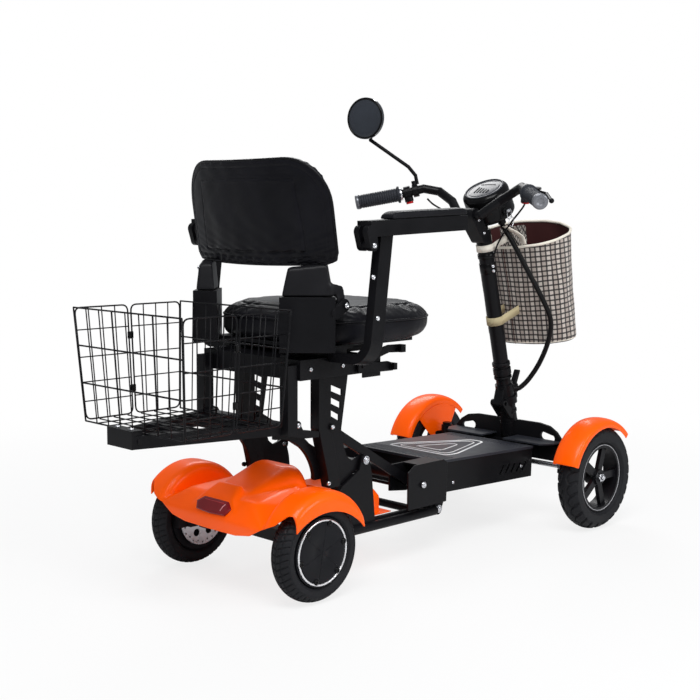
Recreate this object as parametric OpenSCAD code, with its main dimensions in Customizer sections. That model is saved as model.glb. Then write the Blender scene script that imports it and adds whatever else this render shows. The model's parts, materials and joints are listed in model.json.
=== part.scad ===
// Folding four-wheel mobility scooter with a padded seat, a wire crate behind it,
// a cloth bag on the tiller and a steering column that folds with the frame.
// +X points forward, +Y to the driver's left, +Z up, and the ground is z = 0.
// Places along X are measured from the rear axle; place() moves the middle of the length to x = 0.

/* [Wheels] */
// Distance between the rear and front axles
wheelbase = 878; // [870:1:886]
// Diameter of the rear tyres
rear_tyre_d = 205.4; // [200:0.2:209]
// Width of the rear tyres
rear_tyre_w = 51.5; // [46:0.5:54]
// Distance from the middle plane to the middle of a rear tyre
rear_half_track = 192; // [190:0.5:194]
// Diameter of the hub motors, where the rear tyres sit
hub_d = 140; // [132:1:150]
// Diameter of the front tyres
front_tyre_d = 254; // [248:1:258]
// Width of the front tyres
front_tyre_w = 56.5; // [50:0.5:58]
// Distance from the middle plane to the middle of a front tyre
front_half_track = 263; // [262:0.5:266]
// Diameter of the front rims, where the front tyres sit
rim_d = 168; // [156:1:176]
// Number of spokes in a front rim
spokes = 5; // [3:1:7]
// Diameter of the wheel axles
axle_d = 12; // [10:0.5:14]
// Diameter of the brake disc
disc_d = 114; // [100:1:118]

/* [Fenders] */
// Inner radius of the front fenders
fender_r = 142; // [140:1:146]
// Width of the front fenders
fender_w = 68; // [66:1:72]
// Radius of the rear cover over the rear wheels
lobe_r = 124; // [120:1:126]
// Wall thickness of the fenders and the rear cover
skin_t = 3; // [2:0.5:3.5]

/* [Deck] */
// Length of the foot deck
deck_l = 354; // [346:1:356]
// Width of the foot deck
deck_w = 260; // [258:1:266]
// Depth of the deck tray below its top
deck_h = 75; // [70:1:77]
// Height of the deck's rear edge above the ground
deck_z = 207; // [205:1:210]
// Thickness of the tread plate
tread_t = 6; // [4:0.5:8]
// Wall thickness of the tray
tray_t = 3; // [2.5:0.5:4]

/* [Fold linkage] */
// Diameter of the pins in the fold linkage
pin_d = 10; // [8:0.5:11]
// Diameter of the rail tubes
rail_d = 20; // [17:0.5:21]
// Width of a link bar
link_w = 20; // [18:1:22]
// Diameter of the cross tube between the brackets
cross_d = 28; // [22:1:32]

/* [Seat] */
// Length of the cushion, front to back
cushion_l = 368; // [356:1:376]
// Width of the cushion
cushion_w = 430; // [420:1:436]
// Thickness of the cushion
cushion_h = 72; // [60:1:74]
// Width of the backrest pad
back_w = 428; // [410:1:434]
// Height of the backrest pad
back_h = 210; // [202:1:218]
// Thickness of the backrest pad
back_t = 30; // [24:1:40]
// Length of an armrest beam
arm_l = 290; // [280:1:294]
// Height of an armrest beam
arm_h = 31; // [26:1:34]
// Width of an armrest beam
arm_w = 37; // [35:1:38]
// Thickness of an armrest pad
arm_pad_t = 14; // [10:1:18]

/* [Tiller] */
// Diameter of the tiller tube
stem_d = 38; // [34:1:39]
// Diameter of the handlebar
bar_d = 22; // [20:0.5:23]
// Length of a handlebar grip
grip_l = 112; // [106:1:116]
// Diameter of the handlebar grips
grip_d = 34; // [31:0.5:36]
// Diameter of the dash pod
pod_d = 116; // [110:1:118]
// Height of the dash pod
pod_h = 78; // [72:1:80]
// Diameter of the mirror
mirror_d = 102; // [94:1:104]
// Length of the steering arms
steer_arm_l = 55; // [53:0.5:56]

/* [Crate and bag] */
// Width of the crate at its rim
crate_w = 348; // [336:1:352]
// Height of the crate
crate_h = 228; // [212:1:232]
// Distance between the crate's wires
crate_pitch = 43; // [34:1:56]
// Thickness of the crate's walls
crate_t = 3; // [2.5:0.5:4]
// Half width of the bag at its base
bag_half_w = 125; // [118:1:128]
// Height of the bag along its middle line
bag_h = 277; // [268:1:282]
// Wall thickness of the bag
bag_t = 4; // [3:0.5:6]

/* [Hidden] */
$fn = 48;
gap = 0.3;            // space between neighbours that touch on the real machine
fit = 0.05;           // radial clearance of a running fit
far = 1200;           // longer than any piece, for cutting tools
over = 1;             // how far a cutting tool passes the surface that it cuts
bend_out = 0.2;       // how far the ball in a bar's bend stands proud

rear_r = rear_tyre_d / 2;
front_r = front_tyre_d / 2;
hub_r = hub_d / 2;
rim_r = rim_d / 2;
axle_r = axle_d / 2;
pin_r = pin_d / 2;
rail_r = rail_d / 2;
stem_r = stem_d / 2;
bar_r = bar_d / 2;
axle_z = rear_r;

// the bag, and how far the whole machine reaches
bag_low = [wheelbase + 98, 0, 441];
bag_lean = 11.7;
bag_low_l = 75;
rack_rear_x = -320;
bag_front_x = bag_low[0] + bag_low_l * cos(bag_lean);
mid_x = (rack_rear_x + bag_front_x) / 2;

// the deck's rear edge, and the distance from its front edge to the front axle
neck_l = 72;
deck_x = wheelbase - neck_l - deck_l;

// pivots of the fold parallelogram, as [x, z]
rail_pivot = [deck_x - 2, 97];
leg_pivot = [206, 245];
link_pivot = [122, 318];
deck_pivot = rail_pivot + link_pivot - leg_pivot;

// colours
black = [0.08, 0.08, 0.09];
dark = [0.14, 0.14, 0.16];
grey = [0.30, 0.31, 0.33];
silver = [0.76, 0.77, 0.79];
orange = [1.0, 0.36, 0.03];
red = [0.60, 0.04, 0.06];
cream = [0.86, 0.83, 0.77];

// ---- helpers ----

// points whose X is measured from the front axle
function from_front(points) = [for (p = points) p + [wheelbase, 0, 0]];

// moves rear-axle measures to the middle of the machine's length
module place() {
    translate([-mid_x, 0, 0]) children();
}

// both sides of the middle plane
module both() {
    children();
    mirror([0, 1, 0]) children();
}

// the left side as drawn for s = 1, its mirror image for s = -1
module side(s) {
    if (s > 0) children();
    else mirror([0, 1, 0]) children();
}

// a cylinder along Y from y0 to y1
module ybar(p, r, y0, y1) {
    translate([p[0], y0, p[1]]) rotate([-90, 0, 0]) cylinder(h = y1 - y0, r = r);
}

// an outline drawn in X and Z, extruded along Y from y0 to y1
module yplate(y0, y1) {
    translate([0, y1, 0]) rotate([90, 0, 0]) linear_extrude(y1 - y0) children();
}

// an outline drawn in Y and Z, extruded along X from x0 to x1
module xplate(x0, x1) {
    translate([x0, 0, 0]) rotate([90, 0, 90]) linear_extrude(x1 - x0) children();
}

// an outline with round ends from a to b
module capsule(a, b, ra, rb) {
    hull() {
        translate(a) circle(ra, $fn = 32);
        translate(b) circle(rb, $fn = 32);
    }
}

// children drawn along Z from a towards b
module along(a, b) {
    d = b - a;
    translate(a) rotate([0, acos(d[2] / norm(d)), atan2(d[1], d[0])]) children();
}

module rod(a, b, r) {
    along(a, b) cylinder(h = norm(b - a), r = r);
}

// a bent round bar through a list of points
module bent_rod(points, r) {
    for (i = [1:len(points) - 1]) rod(points[i - 1], points[i], r);
    for (i = [1:1:len(points) - 2]) translate(points[i]) sphere(r + bend_out);
}

// turns children around the rear axle
module rotate_about_axle(a) {
    translate([0, 0, axle_z]) rotate([0, a, 0]) translate([0, 0, -axle_z]) children();
}

// ---- deck ----

deck_slope = 2.2;
ear_r = 14;
ear_t = 3;
lug_y = 118;
lug_t = 7;
ear_in = lug_y - 2 - ear_t;
ear_out = deck_w / 2 - ear_t - 1;
vents = 5;
vent_pitch = 22;
vent_w = 7;
vent_l = 26;

// the deck's own frame: x along the deck, z = 0 at its top
module deck_place() {
    translate([deck_x, 0, deck_z]) rotate([0, deck_slope, 0]) children();
}

// one ear of the rail pivot, hanging below the tray
module deck_ear(y) {
    floor_z = deck_z - deck_h + tray_t - over;
    difference() {
        union() {
            ybar(rail_pivot, ear_r, y, y + ear_t);
            yplate(y, y + ear_t) polygon([rail_pivot - [3, ear_r / 2], rail_pivot + [ear_r - 3, -3],
                [deck_x + 2 * ear_r, floor_z], [deck_x + 1, floor_z]]);
        }
        ybar(rail_pivot, pin_r + fit, y - over, y + ear_t + over);
    }
}

module deck_tray() {
    wall_h = deck_h - tread_t;
    color(black) place() {
        deck_place() difference() {
            translate([0, -deck_w / 2, -deck_h]) cube([deck_l, deck_w, wall_h]);
            translate([tray_t, -deck_w / 2 + tray_t, -deck_h + tray_t])
                cube([deck_l - 2 * tray_t, deck_w - 2 * tray_t, wall_h]);
            for (i = [1:vents])
                translate([deck_l - i * vent_pitch - 20, -deck_w / 2 - over, -deck_h + 20])
                    rotate([0, 35, 0]) cube([vent_w, deck_w + 2 * over, vent_l]);
        }
        both() {
            deck_ear(ear_in);
            deck_ear(ear_out);
        }
    }
}

module deck_plate() {
    color(grey) place() deck_place()
        translate([-2, -deck_w / 2 - 1, -tread_t]) cube([deck_l + 4, deck_w + 2, tread_t]);
}

module battery_pack() {
    inside = deck_h - tread_t - tray_t;
    color(dark) place() deck_place() {
        translate([26, -deck_w / 2 + 26, -deck_h + tray_t]) cube([deck_l - 132, deck_w - 52, inside - 6]);
        translate([deck_l - 92, -60, -deck_h + tray_t]) cube([66, 120, inside - 30]);
    }
}

// ---- front frame ----

beam_x = wheelbase;
beam_w = 28;
beam_low = 150;
beam_high = 186;
kingpin_y = 205;
kingpin_r = 8;
sleeve_r = 15;
sleeve_low = 144;
sleeve_high = 195;
arm_y = 74;
arm_low = 170;
wing_z = 196;
wing_t = 4;
arch_t = 8;
head_low = -36;
head_high = 34;
head_r = 23;
shaft_r = 13;
lean = 14;
stem_foot = [wheelbase + 11, 0, 200];

// the tiller's own frame: z along the tube, x square to it and forward
module stem_place() {
    translate(stem_foot) rotate([0, -lean, 0]) children();
}

// the arched plate above the axle beam, with a slot on each side
module arch() {
    xplate(beam_x - arch_t / 2, beam_x + arch_t / 2) difference() {
        polygon([[head_r - 4, beam_high - 4], [head_r - 4, 226], [head_r + 9, 239], [98, 239], [130, 234], [152, 221],
            [170, 200], [176, 182], [176, beam_low + 4], [150, beam_low + 4], [150, beam_high - 4]]);
        translate([114, 208]) circle(10);
        translate([140, 204]) circle(8);
        polygon([[114, 218], [140, 212], [140, 196], [114, 198]]);
    }
}

module front_beam() {
    color(black) place() difference() {
        union() {
            translate([beam_x - beam_w / 2, -kingpin_y + 8, beam_low])
                cube([beam_w, 2 * kingpin_y - 16, beam_high - beam_low]);
            both() {
                translate([beam_x, kingpin_y, sleeve_low]) cylinder(h = sleeve_high - sleeve_low, r = sleeve_r);
                arch();
                translate([deck_x + deck_l - 20, arm_y, arm_low])
                    cube([beam_x - deck_x - deck_l + 20, 22, wing_z - arm_low]);
            }
            stem_place() translate([0, 0, head_low]) cylinder(h = head_high - head_low, r = head_r);
        }
        stem_place() translate([0, 0, head_low - 60]) cylinder(h = far, r = shaft_r + fit);
        both() translate([beam_x, kingpin_y, 0]) cylinder(h = far, r = kingpin_r + fit);
        // the arms end on the tray's front wall, below its plate
        deck_place() translate([-far + deck_l, -far / 2, -far / 2]) cube([far, far, far]);
        deck_place() translate([0, -far / 2, -tread_t - gap]) cube([deck_l + 3, far, far]);
    }
}

module wing_plates() {
    x0 = deck_x + deck_l + 5;
    x1 = beam_x - arch_t / 2 - gap;
    color(grey) place() both() translate([0, 0, wing_z]) linear_extrude(wing_t)
        polygon([[x0, 34], [x0, 146], [x0 + 30, 168], [x1, 168], [x1, 34]]);
}

// ---- brackets and links of the fold ----

bracket_x = deck_x - 132;
bracket_low = 119;
bracket_high = 216;
bracket_in = 100;
bracket_out = 154;
bracket_t = 4;
cross_p = [bracket_x + 11, 194];
rod_p = [bracket_x + 16, 166];
link_y = 110;
link_t = 8;

// one bracket beside the deck, open below and behind where the link swings
module bracket() {
    top = bracket_high - bracket_t;
    front = deck_x + over;
    plate_low = bracket_low + 30;
    difference() {
        union() {
            yplate(bracket_out - bracket_t, bracket_out)
                polygon([[bracket_x, bracket_low], [front, bracket_low], [front, top - 6],
                    [front - 14, bracket_high], [bracket_x + 22, bracket_high], [bracket_x, top - 10]]);
            yplate(bracket_in, bracket_in + bracket_t)
                polygon([[bracket_x - 6, rod_p[1] - 10], [deck_pivot[0], plate_low], [front, plate_low],
                    [front, top - 18], [front - 12, bracket_high - 2], [bracket_x - 6, bracket_high - 2]]);
            translate([bracket_x + 40, bracket_in, top - 2])
                cube([front - bracket_x - 56, bracket_out - bracket_in, bracket_t]);
            // wall that stands against the tray
            deck_place() translate([-gap - bracket_t, bracket_in + over, plate_low + 1 - deck_z])
                cube([bracket_t + over, bracket_out - bracket_in - 2 * over, top - plate_low - 16]);
        }
        deck_place() translate([-gap, -far / 2, -far / 2]) cube([far, far, far]);
    }
    ybar(deck_pivot, pin_r + 3, bracket_out - over, bracket_out + 3);
}

module rear_brackets() {
    color(black) place() {
        both() {
            bracket();
            ybar(deck_pivot, pin_r, bracket_in + over, bracket_out - over);
        }
        ybar(cross_p, cross_d / 2, -bracket_in - over, bracket_in + over);
        ybar(rod_p, 4, -bracket_in - over, bracket_in + over);
    }
}

module fold_links() {
    color(black) place() both() difference() {
        union() {
            yplate(link_y, link_y + link_t) capsule(deck_pivot, link_pivot, link_w / 2, link_w / 2);
            ybar(deck_pivot, link_w / 2, link_y - 2, link_y + link_t + 10);
            ybar(link_pivot, link_w / 2, link_y, link_y + link_t);
        }
        ybar(deck_pivot, pin_r + fit, link_y - 2 - over, link_y + link_t + 10 + over);
        ybar(link_pivot, pin_r + gap, link_y - over, link_y + link_t + over);
    }
}

// ---- rear frame ----

rail_in = 108;
rail_out = 135;
rail_x = rail_pivot[0] - ear_r - 4;
rail_z = axle_z - 2;
upright_y = 127;
upright_t = 6;
foot_z = 200;
beam_end = 150;
stub_in = 122;
cover_low = 139;

// a point's height on the rail tubes
function rail_at(x) = rail_z + (rail_pivot[1] - rail_z) * x / rail_x;

module rail_frame() {
    color(black) place() difference() {
        union() {
            both() {
                for (y = [rail_in, rail_out]) rod([0, y, rail_z], [rail_x, y, rail_pivot[1]], rail_r);
                yplate(lug_y, lug_y + lug_t) capsule([rail_x - 20, rail_pivot[1]], rail_pivot, 9, 12);
                ybar(rail_pivot, 12, lug_y, lug_y + lug_t);
                // upright with the leg pivot
                yplate(upright_y, upright_y + upright_t) polygon([[126, rail_z], [238, rail_z],
                    [226, 215], [218, leg_pivot[1]], [leg_pivot[0] + 9, leg_pivot[1] + 9],
                    [leg_pivot[0], leg_pivot[1] + 12], [leg_pivot[0] - 9, leg_pivot[1] + 9],
                    [188, 226], [140, foot_z - gap], [126, foot_z - 14]]);
                // rest under the leg's foot
                translate([130, lug_y - 12, foot_z - 12]) cube([44, upright_y - lug_y + 13, 12 - gap]);
            }
            for (x = [60, 196, rail_x - 30]) ybar([x, rail_at(x)], rail_r - 1, -rail_out, rail_out);
            translate([-16, -beam_end, axle_z + 1]) cube([32, 2 * beam_end, 26]);
            // blocks that hold the stub axles
            both() translate([-16, stub_in - 4, axle_z - 14]) cube([32, beam_end - stub_in + 4, 30]);
        }
        both() {
            ybar(leg_pivot, pin_r + fit, upright_y - 8, upright_y + upright_t + over);
            ybar(rail_pivot, pin_r + fit, lug_y - over, lug_y + lug_t + over);
        }
        ybar([0, axle_z], axle_r + fit, -far, far);
    }
}

module rear_axle() {
    reach = rear_half_track + 10;
    color(silver) place() {
        both() ybar([0, axle_z], axle_r, stub_in, reach);
    }
}

cover_in = 154;
cover_out = 232;
// centres and radii of the rounded edges below and above the tail light
tail_low = [-96, 152];
tail_high = [-74, 178];
tail_low_r = 12;
tail_high_r = 13;
tail_tilt = atan2(tail_high[1] - tail_low[1], tail_high[0] - tail_low[0]);

lobe_edge = 20;

// a disc around the rear axle with rounded edges of radius e
module lobe(r, y0, y1, e) {
    translate([0, y1, axle_z]) rotate([90, 0, 0]) rotate_extrude($fn = 96) {
        square([r - e, y1 - y0]);
        translate([0, e]) square([r, y1 - y0 - 2 * e]);
        translate([r - e, e]) circle(e, $fn = 32);
        translate([r - e, y1 - y0 - e]) circle(e, $fn = 32);
    }
}

// outer form of the cover, drawn in by d
module cover_form(d) {
    both() lobe(lobe_r - d, cover_in + d, cover_out - d, lobe_edge - d);
    // dome in the middle
    hull() {
        translate([66, 0, 199]) sphere(46 - d, $fn = 28);
        both() {
            translate([96, 44, 172]) sphere(26 - d, $fn = 20);
            translate([-44, 42, 182]) sphere(18 - d, $fn = 20);
        }
    }
    // apron between the lobes, open below
    low = cover_low - over - 4 * d;
    hull() both() {
        translate([tail_low[0], 150, low]) cylinder(h = tail_low[1] - low, r = tail_low_r - d, $fn = 20);
        translate([tail_low[0], 150, tail_low[1]]) sphere(tail_low_r - d, $fn = 20);
        translate([tail_high[0], 112, tail_high[1]]) sphere(tail_high_r - d, $fn = 20);
        translate([60, 152, low]) cylinder(h = 160 - low, r = 18 - d, $fn = 20);
        translate([60, 152, 160]) sphere(18 - d, $fn = 20);
        translate([52, 70, 188]) sphere(18 - d, $fn = 20);
    }
}

module rear_cover() {
    dome_front = 82;
    side_front = 76;
    side_in = 94;
    lobe_front = 104;
    lobe_rear = -82;
    foot_x = 36;
    foot_r = 6;
    foot_low = rail_at(foot_x) + rail_r + gap;
    foot_high = 165;
    color(orange) place() {
        difference() {
            cover_form(0);
            cover_form(skin_t);
            translate([-far / 2, -far / 2, cover_low - far]) cube([far, far, far]);
            // wheel arches in the outer skirts
            both() ybar([0, 52], 134, cover_out - skin_t - 6, far);
            // open front, further back beside the legs
            translate([dome_front, -side_in, 0]) cube([far, 2 * side_in, far]);
            both() translate([side_front, side_in, 0]) cube([far, cover_in - side_in, far]);
            both() translate([lobe_front, cover_in, 0]) cube([far, far, far]);
            // lower edge at the rear, rising towards the sides
            both() xplate(-far, lobe_rear) polygon([[-over, 0], [-over, 139], [80, 143], [140, 155],
                [190, 170], [212, 190], [far, 192], [far, 0]]);
        }
        // feet on the rails
        both() {
            translate([foot_x, rail_in, foot_low]) cylinder(h = foot_high - foot_low, r = foot_r);
            intersection() {
                cover_form(skin_t / 2);
                translate([foot_x, rail_in, foot_high - over]) cylinder(h = far, r = foot_r);
            }
        }
    }
}

module tail_light() {
    seat = tail_low_r + 1 + gap;
    color(red) place() translate([tail_low[0], 0, tail_low[1]]) rotate([0, -tail_tilt, 0])
        translate([17, 0, seat]) linear_extrude(6)
            polygon([[-17, 0], [-14, 44], [2, 54], [16, 38], [16, -38], [2, -54], [-14, -44]]);
}

module frame_cover() {
    w = 2 * (rail_in - rail_r - 3);
    cover_x = 200;
    base = rail_at(cover_x) + rail_r + gap;
    color(orange) place() {
        hull() {
            translate([cover_x, -w / 2, base]) cube([92, w, 38]);
            translate([cover_x + 6, -w / 2 + 8, base + 50]) cube([76, w - 16, 4]);
        }
        translate([cover_x + 22, -rail_in, base]) cube([96, 2 * rail_in, 3]);
    }
}

module fold_pins() {
    color(silver) place() both() {
        ybar(rail_pivot, pin_r, ear_in + fit, ear_out + ear_t - fit);
        ybar(rail_pivot, pin_r + 4, ear_out + ear_t, ear_out + ear_t + 4);
        ybar(leg_pivot, pin_r, upright_y - 7, upright_y + upright_t);
        ybar(leg_pivot, pin_r + 4, upright_y + upright_t, upright_y + upright_t + 4);
    }
}

disc_t = 2.4;
disc_y = rear_half_track - 34;
carrier_r = 20;
caliper_out = rear_half_track - rear_tyre_w / 2 - 0.8;

module brake_caliper() {
    color(dark) place() difference() {
        union() {
            translate([-disc_d / 2 - 13, disc_y - 9, axle_z - 8]) cube([38, caliper_out - disc_y + 9, 34]);
            translate([-disc_d / 2 + 10, disc_y - 18, axle_z - 8]) cube([disc_d / 2 - 26 - gap, 17, 20]);
        }
        translate([-disc_d / 2 - 3, disc_y - 1, axle_z - 9]) cube([disc_d, disc_t + 2, 36]);
    }
}

// ---- wheels ----

// a tyre around Y with a rounded crown
module tyre(r, w, ri) {
    crown = w * 0.62;
    rotate([90, 0, 0]) rotate_extrude($fn = 96) intersection() {
        translate([ri, -w / 2]) square([r - ri, w]);
        union() {
            translate([r - crown, 0]) circle(crown, $fn = 64);
            translate([ri, -w / 2]) square([r - crown - ri, w]);
        }
    }
}

// a hub motor around Y with a cap on its outer side and a blind bore
module hub_motor() {
    w = rear_tyre_w - 6;
    difference() {
        union() {
            ybar([0, 0], hub_r - gap, -w / 2, w / 2);
            ybar([0, 0], hub_r - 8, w / 2 - over, w / 2 + 1.5);
        }
        ybar([0, 0], axle_r + fit, -w, 12);
        // groove around the cap
        difference() {
            ybar([0, 0], hub_r - 5, w / 2 - 2, w);
            ybar([0, 0], hub_r - 8, 0, w + over);
        }
    }
}

module rear_wheel_place(s) {
    place() side(s) translate([0, rear_half_track, axle_z]) children();
}

module rear_tyre_left() {
    color(black) rear_wheel_place(1) tyre(rear_r, rear_tyre_w, hub_r);
}

module rear_tyre_right() {
    color(black) rear_wheel_place(-1) tyre(rear_r, rear_tyre_w, hub_r);
}

module hub_motor_left() {
    color(dark) rear_wheel_place(1) hub_motor();
}

module hub_motor_right() {
    color(dark) rear_wheel_place(-1) hub_motor();
}

module brake_disc() {
    hub_face = rear_half_track - (rear_tyre_w - 6) / 2;
    color(silver) place() difference() {
        union() {
            ybar([0, axle_z], disc_d / 2, disc_y, disc_y + disc_t);
            ybar([0, axle_z], carrier_r, disc_y, hub_face);
        }
        ybar([0, axle_z], axle_r + 3, disc_y - over, hub_face + over);
        for (i = [0:5]) rotate_about_axle(i * 60) ybar([33, axle_z], 8, disc_y - over, disc_y + disc_t + over);
        for (i = [0:23]) rotate_about_axle(i * 15)
            ybar([disc_d / 2 - 5 - 3 * (i % 2), axle_z], 2, disc_y - over, disc_y + disc_t + over);
    }
}

module front_wheel_place(s) {
    place() side(s) translate([wheelbase, front_half_track, front_r]) children();
}

nut_r = 9;
nut_in = 18;
nut_out = 26;

// a spoked rim around Y
module spoked_rim() {
    w = front_tyre_w - 14;
    difference() {
        ybar([0, 0], rim_r - gap, -w / 2, w / 2);
        ybar([0, 0], rim_r - 11, -w, w);
    }
    difference() {
        union() {
            ybar([0, 0], 19, -16, nut_in - gap);
            for (i = [0:spokes - 1]) rotate([0, i * 360 / spokes, 0])
                translate([8, 3, -9]) cube([rim_r - 11 - 8 + 2, 10, 18]);
        }
        ybar([0, 0], axle_r + fit, -w, w);
    }
}

module front_tyre_left() {
    color(black) front_wheel_place(1) tyre(front_r, front_tyre_w, rim_r);
}

module front_tyre_right() {
    color(black) front_wheel_place(-1) tyre(front_r, front_tyre_w, rim_r);
}

module front_rim_left() {
    color(black) front_wheel_place(1) spoked_rim();
}

module front_rim_right() {
    color(black) front_wheel_place(-1) spoked_rim();
}

// ---- steering ----

tie_z = 151;
tie_r = 6;
tie_pin_r = 4;
tie_x = wheelbase - steer_arm_l;
eye_r = 10;
flange_in = kingpin_y + sleeve_r + 1;
flange_out = front_half_track - fender_w / 2;
pitman_t = -58;
pitman_x = stem_foot[0] - sin(lean) * pitman_t - cos(lean) * steer_arm_l;
pitman_z = stem_foot[2] + cos(lean) * pitman_t - sin(lean) * steer_arm_l;

module knuckle() {
    arm_top = tie_z - eye_r / 2 - 3;
    block_top = sleeve_low - gap;
    // kingpin and its head
    translate([beam_x, kingpin_y, front_r]) cylinder(h = sleeve_high + gap - front_r + over, r = kingpin_r);
    translate([beam_x, kingpin_y, sleeve_high + gap]) cylinder(h = 7, r = kingpin_r + 4);
    // block, stub axle with its nut, and the fender's flange
    translate([beam_x - 15, kingpin_y - 13, front_r - 15])
        cube([30, flange_out - kingpin_y + 13, block_top - front_r + 15]);
    translate([beam_x - 15, flange_in, front_r]) cube([30, flange_out - flange_in, 50]);
    ybar([wheelbase, front_r], axle_r, kingpin_y, front_half_track + nut_out);
    ybar([wheelbase, front_r], nut_r, front_half_track + nut_in, front_half_track + nut_out - 2);
    // steering arm and its ball pin
    translate([tie_x, kingpin_y - 8, arm_top - 8]) cube([steer_arm_l, 16, 8]);
    translate([tie_x, kingpin_y, arm_top - 8]) cylinder(h = 8, r = eye_r);
    translate([tie_x, kingpin_y, arm_top - over]) cylinder(h = tie_z + eye_r / 2 + 2 - arm_top, r = tie_pin_r);
}

module knuckle_left() {
    color(dark) place() knuckle();
}

module knuckle_right() {
    color(dark) place() side(-1) knuckle();
}

fender_back = 161;
fender_front = 44;

// a pie slice from the angle a0 to a1, counted from +X towards +Z
module slice(r, a0, a1) {
    steps = 12;
    polygon(concat([[0, 0]],
        [for (i = [0:steps]) let (a = a0 + (a1 - a0) * i / steps) [r * cos(a), r * sin(a)]]));
}

module front_fender() {
    out = flange_out + fender_w;
    outer = fender_r + skin_t;
    translate([wheelbase, 0, front_r]) {
        difference() {
            ybar([0, 0], outer, flange_out, out);
            ybar([0, 0], fender_r, flange_out + skin_t, out - skin_t);
            ybar([0, 0], fender_r - 12, flange_out - over, out + over);
            yplate(flange_out - over, out + over) slice(2 * outer, fender_back, 360 + fender_front);
        }
        // inner plate down to the flange
        yplate(flange_out, flange_out + skin_t)
            polygon([[-15, 20], [15, 20], [46, 60], [74, fender_r - 26], [-20, fender_r - 6],
                [-96, fender_r - 42], [-52, 52]]);
    }
}

module front_fender_left() {
    color(orange) place() front_fender();
}

module front_fender_right() {
    color(orange) place() side(-1) front_fender();
}

module tie_rod() {
    color(silver) place() difference() {
        union() {
            ybar([tie_x, tie_z], tie_r, -kingpin_y + eye_r / 2, kingpin_y - eye_r / 2);
            both() translate([tie_x, kingpin_y, tie_z - eye_r / 2]) cylinder(h = eye_r, r = eye_r);
            // lug and pin for the pitman arm
            translate([tie_x, -7, tie_z - 3]) cube([pitman_x - tie_x, 14, 6]);
            translate([pitman_x, 0, tie_z - 3]) cylinder(h = 6, r = 7);
            translate([pitman_x, 0, pitman_z - 9]) cylinder(h = tie_z - pitman_z + 9, r = tie_pin_r);
        }
        both() translate([tie_x, kingpin_y, 0]) cylinder(h = far, r = tie_pin_r + fit);
    }
}

hinge_x = -30;
fold_t = 92;
collar_r = stem_r + 9;
hinge_r = 9;
hinge_pin_r = 5;
tongue_w = 25;
cheek_w = 8;
latch_x = stem_r + 17;
latch_t = fold_t + 26;

// outline of the room ahead of the hinge's knuckles, above (1) or below (-1) the joint face
module hinge_room(s) {
    polygon([[hinge_x, fold_t], [hinge_x + hinge_r + 3, fold_t],
        [hinge_x + hinge_r - 1, fold_t + s * (hinge_r - 2.5)], [hinge_x, fold_t + s * (hinge_r - 2.5)]]);
}

module steering_base() {
    color(black) place() stem_place() difference() {
        union() {
            translate([0, 0, pitman_t]) cylinder(h = fold_t - pitman_t - 5, r = shaft_r);
            translate([0, 0, head_high + gap]) cylinder(h = fold_t - head_high - gap, r = stem_r + 3);
            translate([0, 0, fold_t - 9]) cylinder(h = 9, r = collar_r);
            both() yplate(tongue_w / 2 + 0.5, tongue_w / 2 + 0.5 + cheek_w)
                capsule([hinge_x, fold_t], [-10, fold_t - 36], hinge_r, 10);
            both() ybar([hinge_x, fold_t], hinge_r, tongue_w / 2 + 0.5, tongue_w / 2 + 0.5 + cheek_w);
            // catch for the latch
            translate([collar_r - 4, -8, fold_t - 9]) cube([latch_x - 4 - collar_r + 4 - 2, 16, 9]);
            // pitman arm
            translate([-steer_arm_l, -10, pitman_t]) cube([steer_arm_l, 20, 8]);
            translate([-steer_arm_l, 0, pitman_t]) cylinder(h = 8, r = 15);
        }
        translate([-steer_arm_l, 0, pitman_t - over]) cylinder(h = 8 + 2 * over, r = 9);
        ybar([hinge_x, fold_t], hinge_pin_r + fit, -far, far);
        // room for the tongue of the tiller
        ybar([hinge_x, fold_t], hinge_r + gap, -tongue_w / 2 - 0.4, tongue_w / 2 + 0.4);
        yplate(-tongue_w / 2 - 0.4, tongue_w / 2 + 0.4) hinge_room(-1);
    }
}

// ---- tiller ----

stem_top = 540;
plug_r = stem_r - 5;
clamp_bar = [wheelbase - 172, 760];
clamp_foot = [wheelbase - 130, 704];
bar_path = from_front([[-172, 0, 760], [-172, 34, 760], [-149, 74, 793], [-145, 120, 818], [-168, 152, 825],
    [-206, 200, 810], [-275, 282, 790]]);
grip_from = bar_path[5];
grip_to = bar_path[6];
control_from = bar_path[4];
control_l = norm(grip_from - control_from);
lever_pin_r = 3;
// middle of the lever perch along the bar, and its pivot in front of the bar
control_m = 42;
throttle_m = control_l - 9.4;
perch_y = -bar_r - 15;
gland_turn = -33;
gland_t = 114;

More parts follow.
